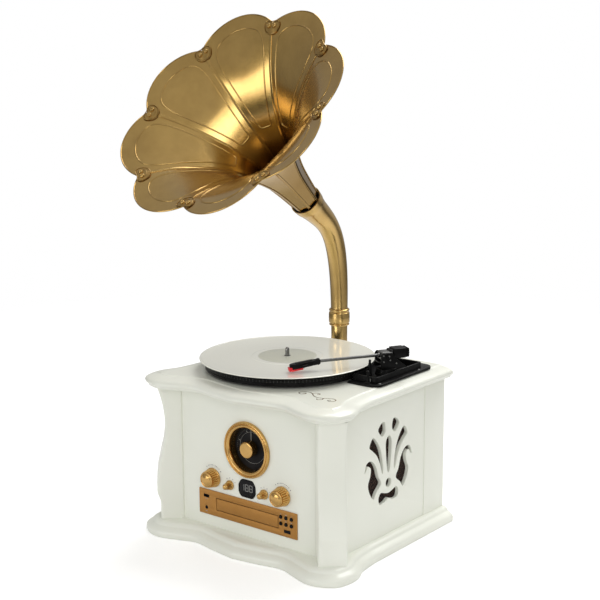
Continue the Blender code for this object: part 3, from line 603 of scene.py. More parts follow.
def vinyl():
    """White pressed record: fine grooves in bands, with a smooth run-out and lead-in."""
    look = Look("white_vinyl", (0.8, 0.8, 0.77), 0.2)
    offset = look.vector("SUBTRACT", look.place, tuple(SPINDLE * MM))
    radius = look.vector("LENGTH", look.vector("MULTIPLY", offset, (1, 1, 0)), output="Value")
    groove, track = (
        look.math("SINE", look.math("MULTIPLY", radius, 2 * math.pi / (pitch * MM))) for pitch in (0.9, 17)
    )
    band = look.math("GREATER_THAN", track, -0.985)
    grooved = look.math("MULTIPLY", look.math("GREATER_THAN", radius, 61 * MM), band)
    grooved = look.math("MULTIPLY", grooved, look.math("LESS_THAN", radius, 146.5 * MM))
    look.bump(look.math("MULTIPLY", groove, grooved), 0.003, 0.2)
    look.rough(grooved, 0.2, 0.26)
    shade = look.math("MULTIPLY", grooved, look.noise(90, 2))
    look.colour(shade, (0, (0.875, 0.88, 0.785)), (1, (0.865, 0.87, 0.775)))
    look.coat(1, 0.04)
    return look.material


def paper(name, colour):
    """Printed paper label: short fibres under a gloss varnish."""
    look = Look(name, colour, 0.55)
    fibres = look.noise(700, 4, look.stretched(1, 0.3, 1))
    look.colour(fibres, (0.3, tuple(c * 0.9 for c in colour)), (0.7, colour))
    look.bump(fibres, 0.03, 0.4)
    look.coat(0.7, 0.06)
    return look.material


def cloth():
    """Open speaker cloth: dark brown threads with lighter flecks, woven over and under."""
    look = Look("speaker_weave", (0.03, 0.018, 0.014), 0.85)
    pitch = 1.4 * MM
    split = look.node("SeparateXYZ", {0: look.place}).outputs
    across, along = (
        look.math("SINE", look.math("MULTIPLY", split[axis], 2 * math.pi / pitch)) for axis in ("Y", "Z")
    )
    weave = look.math("MULTIPLY", across, along)
    tone = look.math("MULTIPLY_ADD", weave, 0.12, look.noise(420, 3))
    dark, brown, tan = (0.008, 0.006, 0.006), (0.035, 0.016, 0.012), (0.16, 0.09, 0.06)
    look.colour(tone, (0.42, dark), (0.58, brown), (0.72, tan))
    look.set("Specular IOR Level", 0.2)
    look.bump(weave, 0.35, 0.9)
    return look.material


def circuit():
    """Green solder mask with faint copper tracks."""
    green = (0.02, 0.11, 0.045)
    look = Look("solder_mask", green, 0.35)
    tracks = look.noise(120, 0, look.stretched(1, 6, 1))
    look.colour(tracks, (0.48, green), (0.52, (0.05, 0.2, 0.07)))
    look.bump(tracks, 0.05, 0.6)
    return look.material


def lit(name, colour, strength):
    """Dim glowing digits, uneven as printed segments are."""
    look = Look(name, colour, 0.4)
    look.set("Emission Color", (*colour, 1))
    look.set("Emission Strength", look.range(look.noise(500, 2), 0.7 * strength, strength))
    look.bump(look.noise(900, 1), 0.02, 0.3)
    return look.material


WHITE = lacquer()
HORN_BRASS = aged_horn()
TRIM = brass("satin_copper", (0.5, 0.25, 0.07), (0.42, 0.2, 0.05), 0.33, 0.4, 0.1)
TUBE_BRASS = brass("tube_brass", (0.64, 0.43, 0.155), (0.47, 0.3, 0.095), 0.19, 1, 0.3)
CLIP_BRASS = brass("clip_brass", (0.46, 0.29, 0.09), (0.34, 0.21, 0.06), 0.24, 1, 0.3)
POLISHED = brass("polished_brass", (0.66, 0.4, 0.13), (0.6, 0.35, 0.1), 0.15, 0.1, 0.3)
BLACK = moulded("black_satin", (0.004, 0.004, 0.004), 0.3)
GLOSS_BLACK = moulded("black_gloss", (0.003, 0.003, 0.004), 0.15, 0.1)
DIAL_BLACK = moulded("dial_black", (0.011, 0.011, 0.012), 0.5)
GREY = moulded("grey_moulding", (0.16, 0.16, 0.16), 0.5)
RUBBER = moulded("rubber", (0.014, 0.013, 0.013), 0.7)
RED = moulded("red_stylus", (0.75, 0.02, 0.03), 0.3, 0.3)
MARKS = moulded("pale_print", (0.28, 0.29, 0.27), 0.6)
GREY_PRINT = moulded("grey_print", (0.3, 0.31, 0.32), 0.6)
GOLD_PRINT = brass("gold_print", (0.2, 0.13, 0.05), (0.1, 0.06, 0.02), 0.45)
BRIGHT = steel("bright_steel", (0.5, 0.5, 0.49), 0.16)
SPINDLE_STEEL = steel("spindle_steel", (0.22, 0.22, 0.215), 0.14)
DARK_METAL = steel("dark_anodised", (0.16, 0.16, 0.155), 0.34)
VINYL = vinyl()
LABEL = paper("grey_label", (0.54, 0.545, 0.445))
CLOTH = cloth()
CIRCUIT = circuit()
DIGITS = lit("digit_segments", (0.2, 0.2, 0.19), 0.16)


# ---------------------------------------------------------------- cabinet
def half_outline():
    """Right half of the boards' edge, from the back corner to the middle of the front."""
    side = [(198.4, -30), (198.6, -50), (203.5, -88), (212.5, -110), (215.5, -132), (210, -158)]
    front = [(196, -172), (178, -180.5), (156, -182), (124, -172), (92, -162.3), (48, -170), (0, -177)]
    return [(198.4, BACK_EDGE)] + smooth_path(side + front, 8)


def board_outline(inset):
    """The whole edge, moved inwards everywhere but at the flat back."""
    half = half_outline()
    whole = half + mirrored(half[:-1])
    last = len(whole) - 1
    result = []
    for i, (x, y) in enumerate(whole):
        x0, y0 = whole[max(i - 1, 0)]
        x1, y1 = whole[min(i + 1, last)]
        step = inset / math.hypot(x1 - x0, y1 - y0)
        result.append((x + (y1 - y0) * step, y if i in (0, last) else y - (x1 - x0) * step))
    return result


def moulded_board(profile):
    """Board whose edge follows a profile of (inset, height) points."""
    return skin([[(*point, z) for point in board_outline(inset)] for inset, z in profile])


def make_boards():
    base = [(1.6, 0), (0, 2.6), (0, 9), (2.2, 13), (6.5, 16.2), (10.5, 18.4), (13.2, 22), (17.5, 24.7)]
    shape("base_board", moulded_board(smooth_path(base + [(22, BASE_TOP)], 4)), WHITE)
    lip = smooth_path([(24, TOP_UNDER), (12, 260), (9.2, 263.6), (5.8, 266.6), (5, 269.6)], 4)
    nose = smooth_path([(5, 269.6), (7, 273.2), (13, 275.9), (21, 277.6)], 4)
    step = softened([(21, 277.6), (29.6, 278.7), (31.4, TOP - 0.1), (36, TOP)], 1.5, 3, closed=False)
    shape("top_board", moulded_board(lip + nose[1:] + step[1:]), WHITE)


FRET_CENTRE = 21.2  # the fretwork is symmetric about this Y


def fret_openings():
    """Openings as closed curves: one on the centre line, two half drawn, three drawn on one side."""
    bow_right = [(10, 97.5), (22.5, 100.8), (28.5, 92), (24.5, 82), (10, 82.5)]
    whole = [[(0, 95.6)] + bow_right + [(0, 86.8)] + mirrored(bow_right)]
    middle_slot = [(0, 194), (7.8, 186), (7.6, 166), (3.6, 136), (0, 131.5)]
    middle_drop = [(0, 121.5), (7.2, 117.5), (6.6, 109.5), (0, 105.8)]
    for half in (middle_slot, middle_drop):
        whole.append(half + mirrored(half[1:-1]))
    drop = [(12.5, 220), (22, 219), (30, 211), (26, 203.5), (18, 197.5), (9.5, 205.5)]
    slot = [(44.5, 200.5), (54.5, 187.5), (46, 179.5), (34, 168.5), (25, 153), (18.5, 133.5)]
    slot += [(15.6, 142), (20.5, 168), (31, 188.5)]
    hook = [(53, 163.5), (63, 160.5), (68, 148), (64.5, 148.5), (58.5, 156), (50.5, 150.5)]
    hook += [(52, 138), (58, 124), (53, 108), (42.5, 96), (34, 106), (21.5, 117.5)]
    hook += [(29, 131), (34.5, 147), (43, 158.5)]
    for opening in (drop, slot, hook):
        whole += [opening, mirrored(opening)]
    return [smooth_loop([(FRET_CENTRE + y, z) for y, z in opening], 8) for opening in whole]


def make_sides():
    for name, side in (("left", -1), ("right", 1)):
        node = "side_panel_" + name
        low, high = corners(node)
        outline = rectangle(low.y - 6, high.y, low.z - 2, high.z + 2)
        panel = side_plate(outline, side * (SIDE_X - 6.4), side * SIDE_X, fret_openings(), 0.9)
        outline = rectangle(126, high.y, low.z - 2, high.z + 2)
        strip = side_plate(outline, side * (SIDE_X - 1), side * (SIDE_X + 1.5), (), 0.8)
        shape(node, merged(panel, strip), WHITE)
        make_cloth("speaker_cloth_" + name, side)


def make_cloth(node, side):
    """Cloth stretched over its board: flat at the rim and very slightly bowed by its own tension."""
    low, high = corners(node)
    size = high - low
    shares = [k / 30 for k in range(31)]
    sheets = []
    for x in (side * (SIDE_X - 6.5), side * (SIDE_X - 7.5)):
        rows = []
        for v in shares:
            sags = [side * -5.6 * u * (1 - u) * v * (1 - v) for u in shares]
            rows.append([(x + sag, low.y + size.y * u, low.z + size.z * v) for u, sag in zip(shares, sags)])
        sheets.append(rows)
    piece(node + "_weave", sheet_pair(*sheets), CLOTH, stands_for=[node])


def make_posts():
    inner, start, end = 195, 5, 52
    low, high = heights("corner_post_right")
    profile = [(236, low), (236, 54), (240.6, 69), (241.5, 80), (239, 112), (233, 140)]
    profile += [(227, 168), (225.3, 196), (228, 224), (233, 245), (236.6, high)]
    profile = [(236, low - 2)] + smooth_path(profile, 6) + [(236.6, high + 2)]
    for name, side in (("left", -1), ("right", 1)):
        rings = []
        for reach, z in profile:
            section = softened([(inner, start), (reach, start), (reach, end), (inner, end)], 5, 5)
            rings.append([(side * (d + s) / math.sqrt(2), (s - d) / math.sqrt(2), z) for d, s in section])
        shape("corner_post_" + name, skin(rings), WHITE)


# ---------------------------------------------------------------- front and back
def make_front():
    low, high = corners("front_panel")
    holes = [circle(DIAL.x, DIAL.z, 44, 72), grown_display(0.35), rectangle(-101, 101, 48.5, 85.5)]
    shape("front_panel", front_plate(front_view("front_panel", 6, 2), low.y, high.y, holes, 0.4), WHITE)


def grown_display(grow):
    """Outline of the display, wider at its lower corners, grown outwards."""
    low, high = corners("display_window")
    centre, half = (low + high) / 2, (high - low) / 2
    right = [(0.68, -1), (1, -0.5), (1, 0.4), (0.66, 1)]
    outline = [(centre.x + x * half.x, centre.z + z * half.z) for x, z in right + mirrored(right)]
    return shifted(softened(outline, 3.4, 5), -grow)


def back_turned(profile, x, lift, soft=None):
    """Round part at the sockets' height, standing this far out of the back."""
    return moved(turned(profile, 40, soft=soft), at(x, BACK_FACE + lift, 54) @ OUT_OF_BACK)


def make_back():
    """Back panel with a screwed service cover and a plate with the mains inlet and signal sockets."""
    face = BACK_FACE
    reach = 1  # into the side panels, so that no light shows between them
    shape("back_panel", back_plate(front_view("back_panel", reach), corners("back_panel")[0].y, face), WHITE)
    cover = softened(rectangle(-20, 110, 96, 196), 6, 4)
    piece("service_cover", back_plate(cover, face - 0.4, face + 1.6, (), 0.7), WHITE)
    screws = [screw((x, face + 1.6, z), 2.6, OUT_OF_BACK) for x in (-13, 45, 103) for z in (103, 189)]
    screws += [screw((x, face + 2.6, 54), 2.2, OUT_OF_BACK) for x in (5, 85)]
    piece("back_screws", merged(*screws), BRIGHT)
    inlet = softened(rectangle(14, 36, 48, 60), 4, 4)
    plate = back_plate(softened(rectangle(0, 90, 38, 70), 4, 4), face - 0.4, face + 2.6, [inlet], 0.6)
    inside = back_plate(shifted(inlet, -1), face - 0.4, face + 0.5, (), 0.1)
    piece("socket_plate", merged(plate, inside), BLACK)
    metal = []
    for x in (52, 70):
        ring = [(3.6, 0), (4.4, 0), (4.4, 8), (4, 8.6), (3.6, 8.6)]
        nut = [(4.2, 0), (6.4, 0), (6.4, 1.6), (5.8, 2.2), (4.2, 2.2)]
        metal += [back_turned(ring, x, 2.2, (0.2, 2)), back_turned(nut, x, 2.2)]
    for x in (21, 29):
        metal.append(back_turned([(0, 0), (1.1, 0), (1.1, 1.8), (0.7, 2.2), (0, 2.2)], x, 0.4))
    piece("socket_metal", merged(*metal), BRIGHT)
    core = [(0, 0), (3.5, 0), (3.5, 6.6), (1.4, 7), (1.2, 4), (0, 4)]
    piece("left_socket_core", back_turned(core, 52, 2.2), MARKS, slot="record_white")
    piece("right_socket_core", back_turned(core, 70, 2.2), RED)


def make_strip():
    low, high = corners("fascia_strip")
    tray_top = heights("disc_tray")[1]
    face_low = tray_top - 20.4
    holes = [softened(rectangle(-67.4, 67.4, face_low - 0.7, tray_top + 0.7), 0.4, 2)]
    for node in ("memory_stick_socket", "sensor_window"):
        holes.append(softened(front_view(node, 0.25, 0.25), 0.3, 2))
    round_holes = [("headphone_jack", 3.15)] + [(f"push_button_{number}", 3.25) for number in range(1, 7)]
    for node, radius in round_holes:
        centre = middle(node)
        holes.append(circle(centre.x, centre.z, radius, 32))
    outline = softened(front_view("fascia_strip"), 1, 4)
    shape("fascia_strip", front_plate(outline, low.y, high.y, holes, 0.35), TRIM)
    make_tray(face_low, tray_top)
    for number in range(1, 7):
        make_button(f"push_button_{number}")
    low, high = corners("sensor_window")
    lens = front_plate(softened(front_view("sensor_window"), 0.6, 3), low.y - 0.2, high.y, (), 0.5)
    shape("sensor_window", lens, GLOSS_BLACK)
    make_strip_marks()


def make_tray(face_low, face_high):
    low, high = corners("disc_tray")
    outline = softened(rectangle(-66.4, 66.4, face_low + 0.2, face_high - 0.2), 0.6, 3)
    face = front_plate(outline, low.y, low.y + 3, (), 0.4)
    y = low.y + 65.5
    floor = 63.2
    bed = softened(rectangle(-64, 64, low.y + 2, high.y), 2, 3)
    base = soft_plate(bed, 60, floor, [softened(circle(0, y, 16), 0.2, 1)], 0.2)
    ring = soft_plate(bed, floor - 0.1, 65, [circle(0, y, 60.5, 96)], 0.5)
    small = soft_plate(circle(0, y, 41.5, 72), floor - 0.1, floor + 0.5, [circle(0, y, 40, 72)], 0.2)
    shape("disc_tray", merged(face, base, ring, small), TRIM, "disc_tray")


def make_button(node):
    centre = middle(node)
    place = (centre.x, 0, centre.z)
    front = -corners(node)[0].y
    cap = [(0, 128), (3, 128), (3, front - 1), (2.75, front - 0.35), (2.2, front - 0.05), (1.7, front - 0.12)]
    cap = front_turned(cap + [(0, front - 0.3)], place, 40, (0.25, 3))
    collar = front_turned([(0, 131), (4.2, 131), (4.2, 132.6), (0, 132.6)], place, 32)
    shape(node, merged(cap, collar), BLACK, node)


def tick(x, z, width, height, front, thick=0.12):
    """Small printed mark on the front."""
    outline = rectangle(x - width / 2, x + width / 2, z - height / 2, z + height / 2)
    return front_plate(outline, front - thick, front + 0.05, (), 0.04)


def make_strip_marks():
    """Generic marks beside the strip's controls: short bars, no lettering."""
    marks = []
    for number in range(1, 7):
        centre = middle(f"push_button_{number}")
        up = 5 if number <= 3 else 5.4
        marks.append(tick(centre.x, centre.z + up, 2.2 + 0.5 * (number % 3), 0.8, STRIP_FRONT))
    for node, drop in (("memory_stick_socket", 5), ("headphone_jack", 6.4)):
        centre = middle(node)
        marks.append(tick(centre.x, centre.z - drop, 5, 0.8, STRIP_FRONT))
    piece("strip_marks", merged(*marks), GREY_PRINT)


def make_dial():
    rim = [(36.2, -12.2), (43.6, -12.2), (43.6, 0.3), (48, 0.3), (48, 2), (46.9, 5), (45, 5.4), (44, 3.2)]
    rim += [(43.2, 3.2), (42.6, 4.6), (40.2, 4.9), (38.2, 3.6), (37.2, 1.4), (36.4, -1.6)]
    bezel = front_turned(rim, (DIAL.x, FRONT_Y, DIAL.z), 128, (0.8, 4))
    shape("dial_bezel", bezel, POLISHED)
    face = corners("dial_face")[0].y
    place = (DIAL.x, face, DIAL.z)
    shape("dial_face", front_turned([(3.4, -2), (43, -2), (43, 0), (3.4, 0)], place), DIAL_BLACK)
    make_dial_scale(face)
    make_pointer(face)


def make_dial_scale(face):
    """A printed circle, tick marks and plain numbers."""
    circle_profile = [(26.2, 0), (26.55, 0), (26.55, 0.15), (26.2, 0.15)]
    marks = [front_turned(circle_profile, (DIAL.x, face, DIAL.z))]
    numbers = list(range(88, 109, 4))
    sweep, ticks = 240, 40
    for k in range(ticks + 1):
        heading = 90 + sweep / 2 - sweep * k / ticks
        long_tick = k % 8 == 0
        inner, outer = (30.2, 32.6) if long_tick else (31.4, 32.4)
        bar = front_plate(rectangle(-0.16, 0.16, inner, outer), face - 0.15, face + 0.05, (), 0.03)
        marks.append(moved(bar, at(DIAL.x, 0, DIAL.z) @ rotation(90 - heading, "Y")))
        if long_tick:
            x, z = arc(DIAL.x, DIAL.z, 28.4, heading, heading, 1)[0]
            marks.append(number_mesh(str(numbers[k // 8]), x, face - 0.08, z))
    piece("dial_scale", merged(*marks), MARKS)


def number_mesh(text, x, y, z):
    """A plain number, as a mesh standing just off the dial."""
    curve = bpy.data.curves.new("number", "FONT")
    curve.body = text
    curve.size = 3
    curve.extrude = 0.08
    curve.align_x = "CENTER"
    curve.align_y = "CENTER"
    obj = bpy.data.objects.new("number", curve)
    bpy.context.scene.collection.objects.link(obj)
    solid = obj.evaluated_get(bpy.context.evaluated_depsgraph_get())
    bm = bmesh.new()
    bm.from_mesh(solid.to_mesh())
    solid.to_mesh_clear()
    bpy.data.objects.remove(obj)
    bpy.data.curves.remove(curve)
    return moved(bm, at(x, y, z) @ FRONT_TO_WORLD)


def make_pointer(face):
    reach = face - corners("dial_pointer")[0].y
    hub = [(0, -8), (2.6, -8), (2.6, 2.2), (13.6, 2.2), (13.8, reach - 2.4)]
    hub += [(13.2, reach - 0.8), (11.6, reach - 0.3), (0, reach)]
    hub = front_turned(hub, (DIAL.x, face, DIAL.z), 96, (0.9, 4))
    sides = (DIAL.x - 0.45, DIAL.x + 0.45)
    needle = soft_block(sides, (face - 3.4, face - 2.4), (DIAL.z + 10, DIAL.z + 33), 0.3)
    shape("dial_pointer", hub, POLISHED, "dial_pointer")
    piece("dial_needle", needle, MARKS, "dial_pointer", "copper_trim")


SEGMENTS = {"a": (0, 2), "b": (1, 1), "c": (1, -1), "d": (0, -2), "e": (-1, -1), "f": (-1, 1), "g": (0, 0)}


def digit(names, x, z, height, front):
    """Seven segment digit built from bars."""
    width, bar, gap = height * 0.52, height * 0.13, 0.25
    bars = []
    for name in names:
        across, up = SEGMENTS[name]
        wide, high = (bar, height / 2) if across else (width, bar)
        place = (x + across * width / 2, z + up * height / 4)
        bars.append(tick(*place, wide - gap, high - gap, front))
    return bars


def make_display():
    low, high = corners("display_window")
    front = low.y
    rim = front_plate(grown_display(0), front, high.y, [grown_display(-1.1)], 0.45)
    piece("display_rim", rim, BLACK, stands_for=["display_window"])
    piece("display_glass", front_plate(grown_display(-1), front + 0.7, high.y, (), 0.3), GLOSS_BLACK)
    centre = middle("display_window")
    bars = []
    for names, dx in (("bc", -9), ("abcdefg", 0), ("abcdefg", 8.8)):
        bars += digit(names, centre.x + dx, centre.z + 1.5, 11, front + 0.7)
    piece("display_digits", merged(*bars), DIGITS)


def flutes(count, depth, low, high):
    """Flutes round a knob, between two heights."""
    def wave(turn, height):
        if not low < height < high:
            return 0
        fade = min(1, (height - low) / 0.8, (high - height) / 0.8)
        return depth * fade * (0.5 - 0.5 * math.cos(count * turn)) ** 2
    return wave


def make_knobs():
    base = FRONT_Y - 0.8
    shaft = [(0, -15), (3, -15), (3, 0)]
    skirt = softened(shaft + [(16.8, 0), (16.8, 1.2), (16.2, 1.9)], 0.5, 3, closed=False)
    body = [(14.8, 2)] + [(16 - 2 * k / 16, 2.6 + 12.6 * k / 16) for k in range(17)]
    cap = [(12.4, 15.3), (13.4, 15.8), (13.2, 17.2), (12.2, 17.9), (11.2, 17), (10.6, 17.4), (8, 18.9)]
    big = skirt + body + softened(cap + [(4, 19.9), (0, 20.2)], 0.5, 3, closed=False)
    skirt = softened(shaft + [(8.4, 0), (8.4, 1.2), (8, 1.9)], 0.4, 3, closed=False)
    body = [(7.5, 2.1)] + [(7.4 - 2.4 * k / 10, 2.4 + 9 * k / 10) for k in range(11)]
    cap = [(4.9, 11.8), (5, 12.4), (4.5, 13.8), (3.2, 14.8), (0, 15.4)]
    small = skirt + body + softened(cap, 0.6, 4, closed=False)
    for name in ("volume", "tuning", "tone", "function"):
        is_big = name in ("volume", "tuning")
        profile, waves = (big, flutes(24, 2, 2.5, 15.3)) if is_big else (small, flutes(14, 1.3, 2.2, 11.7))
        place, node = joint_place(name + "_turn"), name + "_knob"
        bm = front_turned(profile, (place.x, base, place.z), 320, waves=waves)
        shape(node, bm, POLISHED, node, sharp=60)
        make_knob_marks(node, place, is_big)


def make_knob_marks(node, place, is_big):
    """Short printed ticks in an arc over a knob: no lettering."""
    marks = []
    for angle in (38, 52, 60, 68, 76, 84, 92, 100, 108, 116, 130) if is_big else (30, 62, 94, 126):
        radius, width, height = (21.5, 1 + 0.5 * (angle % 3), 1.7) if is_big else (12, 1.5, 1.5)
        mark = tick(0, radius, width, height, FRONT_Y)
        marks.append(moved(mark, at(place.x, 0, place.z) @ rotation(90 - angle, "Y")))
    piece(node + "_marks", merged(*marks), GREY_PRINT)


# ---------------------------------------------------------------- turntable
def make_turntable():
    centre = (SPINDLE.x, SPINDLE.y, 0)
    low, high, bore, edge = RECORD_LOW, RECORD_TOP, 3.9, RECORD_RADIUS
    disc = [(bore, low), (edge - 1.2, low), (edge, low + 0.5), (edge, high - 0.45), (edge - 1.4, high)]
    disc += [(edge - 3.4, high), (edge - 3.8, high - 0.25), (61.5, high - 0.25), (60.5, high), (bore, high)]
    shape("record", turned(disc, 256, centre, (0.3, 3)), VINYL, "platter")
    label = [(bore, -0.3), (50, -0.3), (50, 0.12), (49.6, 0.2), (bore, 0.2)]
    piece("record_label", turned(label, 128, (SPINDLE.x, SPINDLE.y, high)), LABEL, "platter")
    bottom, top = heights("platter")
    edge = PLATTER_RADIUS
    rim = [(bore, top), (bore, 286), (12, 286), (12, top - 3.5), (60, top - 3.5), (60, 287), (64, 287)]
    rim += [(64, top - 3.5), (136, top - 3.5), (136, bottom), (edge, bottom), (edge, bottom + 4.2)]
    rim += [(edge - 0.7, bottom + 4.8), (edge, bottom + 5.4), (edge, top - 4), (edge - 0.7, top - 3.4)]
    rim += [(edge, top - 2.8), (edge, top)]
    shape("platter", turned(rim, 192, centre, (0.5, 3)), BLACK, "platter")
    make_strobe_dots(bottom, edge)
    end = heights("spindle")[1]
    pin = [(0, 236), (3.5, 236), (3.5, end - 4.4), (3.2, end - 2.4), (2, end - 0.6), (0, end)]
    collar = [(0, high - 0.2), (5.6, high - 0.2), (5.6, high + 0.5), (4.6, high + 0.8), (0, high + 0.8)]
    bm = merged(turned(pin, 64, centre, (0.8, 4)), turned(collar, 64, centre))
    shape("spindle", bm, SPINDLE_STEEL, "platter")


def make_strobe_dots(bottom, edge):
    """Rows of fine raised dots round the platter's rim."""
    dots = []
    count, size = 150, 0.5
    for k in range(count):
        for z in (bottom + 7, bottom + 9.4):
            bm = bmesh.new()
            bmesh.ops.create_uvsphere(bm, u_segments=6, v_segments=4, radius=size)
            bm.transform(Matrix.Diagonal((0.35, 1, 1, 1)))
            spin = rotation(360 * k / count, "Z")
            dots.append(moved(bm, at(SPINDLE.x, SPINDLE.y, z) @ spin @ at(edge, 0, 0)))
    piece("platter_strobe_dots", merged(*dots), DARK_METAL, "platter", "black_plastic")


def make_drive():
    low, high = heights("motor_pulley")
    crown = [(0, low), (1.5, low), (1.5, 287), (6, 287), (6, 288), (5.7, 288.6), (6, 290.5)]
    crown += [(5.7, 292.4), (6, 293), (6, high), (0, high)]
    bm = turned(crown, 64, (MOTOR.x, MOTOR.y, 0), (0.3, 2))
    shape("motor_pulley", bm, BRIGHT, "motor_pulley")
    big, small, distance = 64.7, 6.7, 100
    heading = math.degrees(math.atan2(MOTOR.y - SPINDLE.y, MOTOR.x - SPINDLE.x))
    tangent = math.degrees(math.acos((big - small) / distance))
    far = arc(SPINDLE.x, SPINDLE.y, big, heading + tangent, heading + 360 - tangent, 90)
    near = arc(MOTOR.x, MOTOR.y, small, heading - tangent, heading + tangent, 24)
    section = softened(rectangle(-0.4, 0.4, -2, 2), 0.25, 3)
    shape("drive_belt", swept(above(far + near, 290.5), section, closed=True), RUBBER)


def deck_outline(left_radius, right, front, back, corner):
    """Deck shape: straight right, front and back, rounded right corners, hollow round left side."""
    start = math.degrees(math.asin((front - SPINDLE.y) / left_radius))
    points = arc(right - corner, front + corner, corner, 270, 360, 12)
    points += arc(right - corner, back - corner, corner, 0, 90, 12)
    left = arc(SPINDLE.x, SPINDLE.y, left_radius, 38, start, 40)
    return points + [(left[0][0], back)] + left


def make_deck():
    clear = PLATTER_RADIUS + 3
    low, high = corners("deck_plate")
    flange = soft_plate(deck_outline(clear, high.x, low.y, high.y, 18), DECK_LOW, DECK_TOP, (), 1.4)
    outer = deck_outline(clear + 0.8, 163, 2, 136, 5)
    inner = deck_outline(clear + 4.3, 159.5, 5.5, 132.5, 2.4)
    rim = soft_plate(outer, DECK_TOP - 1, RIM_TOP, [inner], 0.9)
    post = [(0, DECK_TOP - 1), (4.4, DECK_TOP - 1), (4.4, DECK_TOP + 1.4), (3, DECK_TOP + 2.4), (2.8, 303.6)]
    rest = turned(post + [(2, 305), (2, 310.6), (0, 311)], 40, (122, 41, 0), (0.5, 3))
    plinth = softened(rectangle(128, 156, 34, 92), 4, 4)
    plinth = soft_plate(plinth, DECK_TOP - 0.5, DECK_TOP + 1.2, (), 0.6)
    rails = [soft_block(xs, (96, 126), (DECK_TOP - 0.5, DECK_TOP + 2.2)) for xs in ((133, 136), (146, 149))]
    rails.append(soft_block((140, 158), (-7.4, -0.8), (DECK_TOP - 0.3, DECK_TOP + 0.4), 0.3))
    shape("deck_plate", merged(flange, rim, rest, plinth, *rails), BLACK)
    screws = [screw((x, y, DECK_TOP), 2.6) for x, y in ((166.5, 6), (166.5, 120), (134, 148), (126, 16))]
    piece("deck_screws", merged(*screws), DARK_METAL)
    bars = [soft_block((x - 0.6, x + 0.6), (1.6, 2), (RIM_TOP - 8, RIM_TOP - 3), 0.15) for x in (147, 151)]
    piece("speed_marks", merged(*bars), MARKS, slot="black_plastic")


# ---------------------------------------------------------------- tonearm
COLLAR = Vector((75.5, -34, 316.5))
HEAD_ANGLE, HEAD_LENGTH, HEAD_DROP = 235, 52, 7
CHEEK_INNER, CHEEK_OUTER = 12.5, 15


def frame_along(place, along):
    """Frame with X along a direction, Y level to its left and Z up."""
    along = along.normalized()
    left = UP.cross(along).normalized()
    return axes_at(place, along, left, along.cross(left))


def head_frame():
    turn = math.radians(HEAD_ANGLE)
    return frame_along(COLLAR, Vector((math.cos(turn), math.sin(turn), -HEAD_DROP / HEAD_LENGTH)))


ARM_FRAME = frame_along(PIVOT, COLLAR - PIVOT)
LEVEL_FRAME = frame_along(PIVOT, Vector((COLLAR.x - PIVOT.x, COLLAR.y - PIVOT.y, 0)))
HEAD_FRAME = head_frame()


def make_pedestal():
    low = heights("tonearm_pedestal")[0]
    foot = [(0, low), (18, low), (18, 286.6), (16.6, 288.4), (15.6, 294.2), (14.4, 295.2), (7.5, 295.4)]
    bm = turned(foot + [(7.5, 304), (0, 304)], 72, (PIVOT.x, PIVOT.y, 0), (0.8, 3))
    shape("tonearm_pedestal", bm, BLACK)


def make_yoke():
    low, floor, floor_top, top = 296.2 - PIVOT.z, 304.3 - PIVOT.z, 307 - PIVOT.z, 5
    outline = softened([(14, low), (14, 2), (11, top), (-6, top), (-12, -4), (-33, low)], 1.5, 4)
    parts = [soft_block((-9, 14), (-CHEEK_INNER - 0.6, CHEEK_INNER + 0.6), (floor, floor_top), 0.4)]
    screws = []
    for side in (-1, 1):
        cheek = sorted((-side * CHEEK_INNER, -side * CHEEK_OUTER))
        boss = sorted((-side * (CHEEK_OUTER - 0.3), -side * (CHEEK_OUTER + 0.9)))
        parts.append(moved(soft_plate(outline, *cheek, [circle(0, 0, 2, 32)], 0.5, 0.5), FRONT_TO_WORLD))
        hole = circle(0, 0, 2.4, 32)
        parts.append(moved(soft_plate(circle(0, 0, 4.6, 40), *boss, [hole], 0.3, 0.3), FRONT_TO_WORLD))
    for x, z in ((10, 1.2), (9.6, -9), (-2, -7), (-13, -13)):
        screws += [screw((x, side * CHEEK_OUTER, z), 1.6, rotation(-90 * side, "X")) for side in (-1, 1)]
    shape("tonearm_yoke", moved(merged(*parts), LEVEL_FRAME), BLACK, "tonearm_yoke")
    piece("yoke_screws", moved(merged(*screws), LEVEL_FRAME), DARK_METAL, "tonearm_yoke")


def make_tonearm():
    inner = CHEEK_INNER - 1
    block = soft_block((-8, 11), (-inner, inner), (-7, 6), 1)
    pin = moved(rod(1.5, -CHEEK_INNER - 4, CHEEK_INNER + 4), rotation(90, "Z"))
    tube = rod(2.6, 9, (COLLAR - PIVOT).length, 48)
    arm = merged(block, pin, tube, rod(3.6, 10, 15, 48, 0.6), rod(3, -42, -6))
    shape("tonearm_tube", moved(arm, ARM_FRAME), DARK_METAL, "tonearm", slot="tonearm_grey")
    weight = soft_block((-33, -10), (-inner, inner), (-6, 10.6), 1.6)
    collar = soft_block((-10.6, -5), (-inner + 2, inner - 2), (-5, 8.6), 1)
    tail = soft_block((-39, -32), (-inner + 1.6, inner - 1.6), (-4.8, 9.2), 1.4)
    rib_ys = (-inner + 0.9, inner - 0.9)
    ribs = [soft_block((x, x + 0.9), rib_ys, (-5.4, 9.9), 0.3) for x in (-37.6, -35.8, -34)]
    shape("counterweight", moved(merged(weight, collar, tail, *ribs), ARM_FRAME), BLACK, "tonearm")


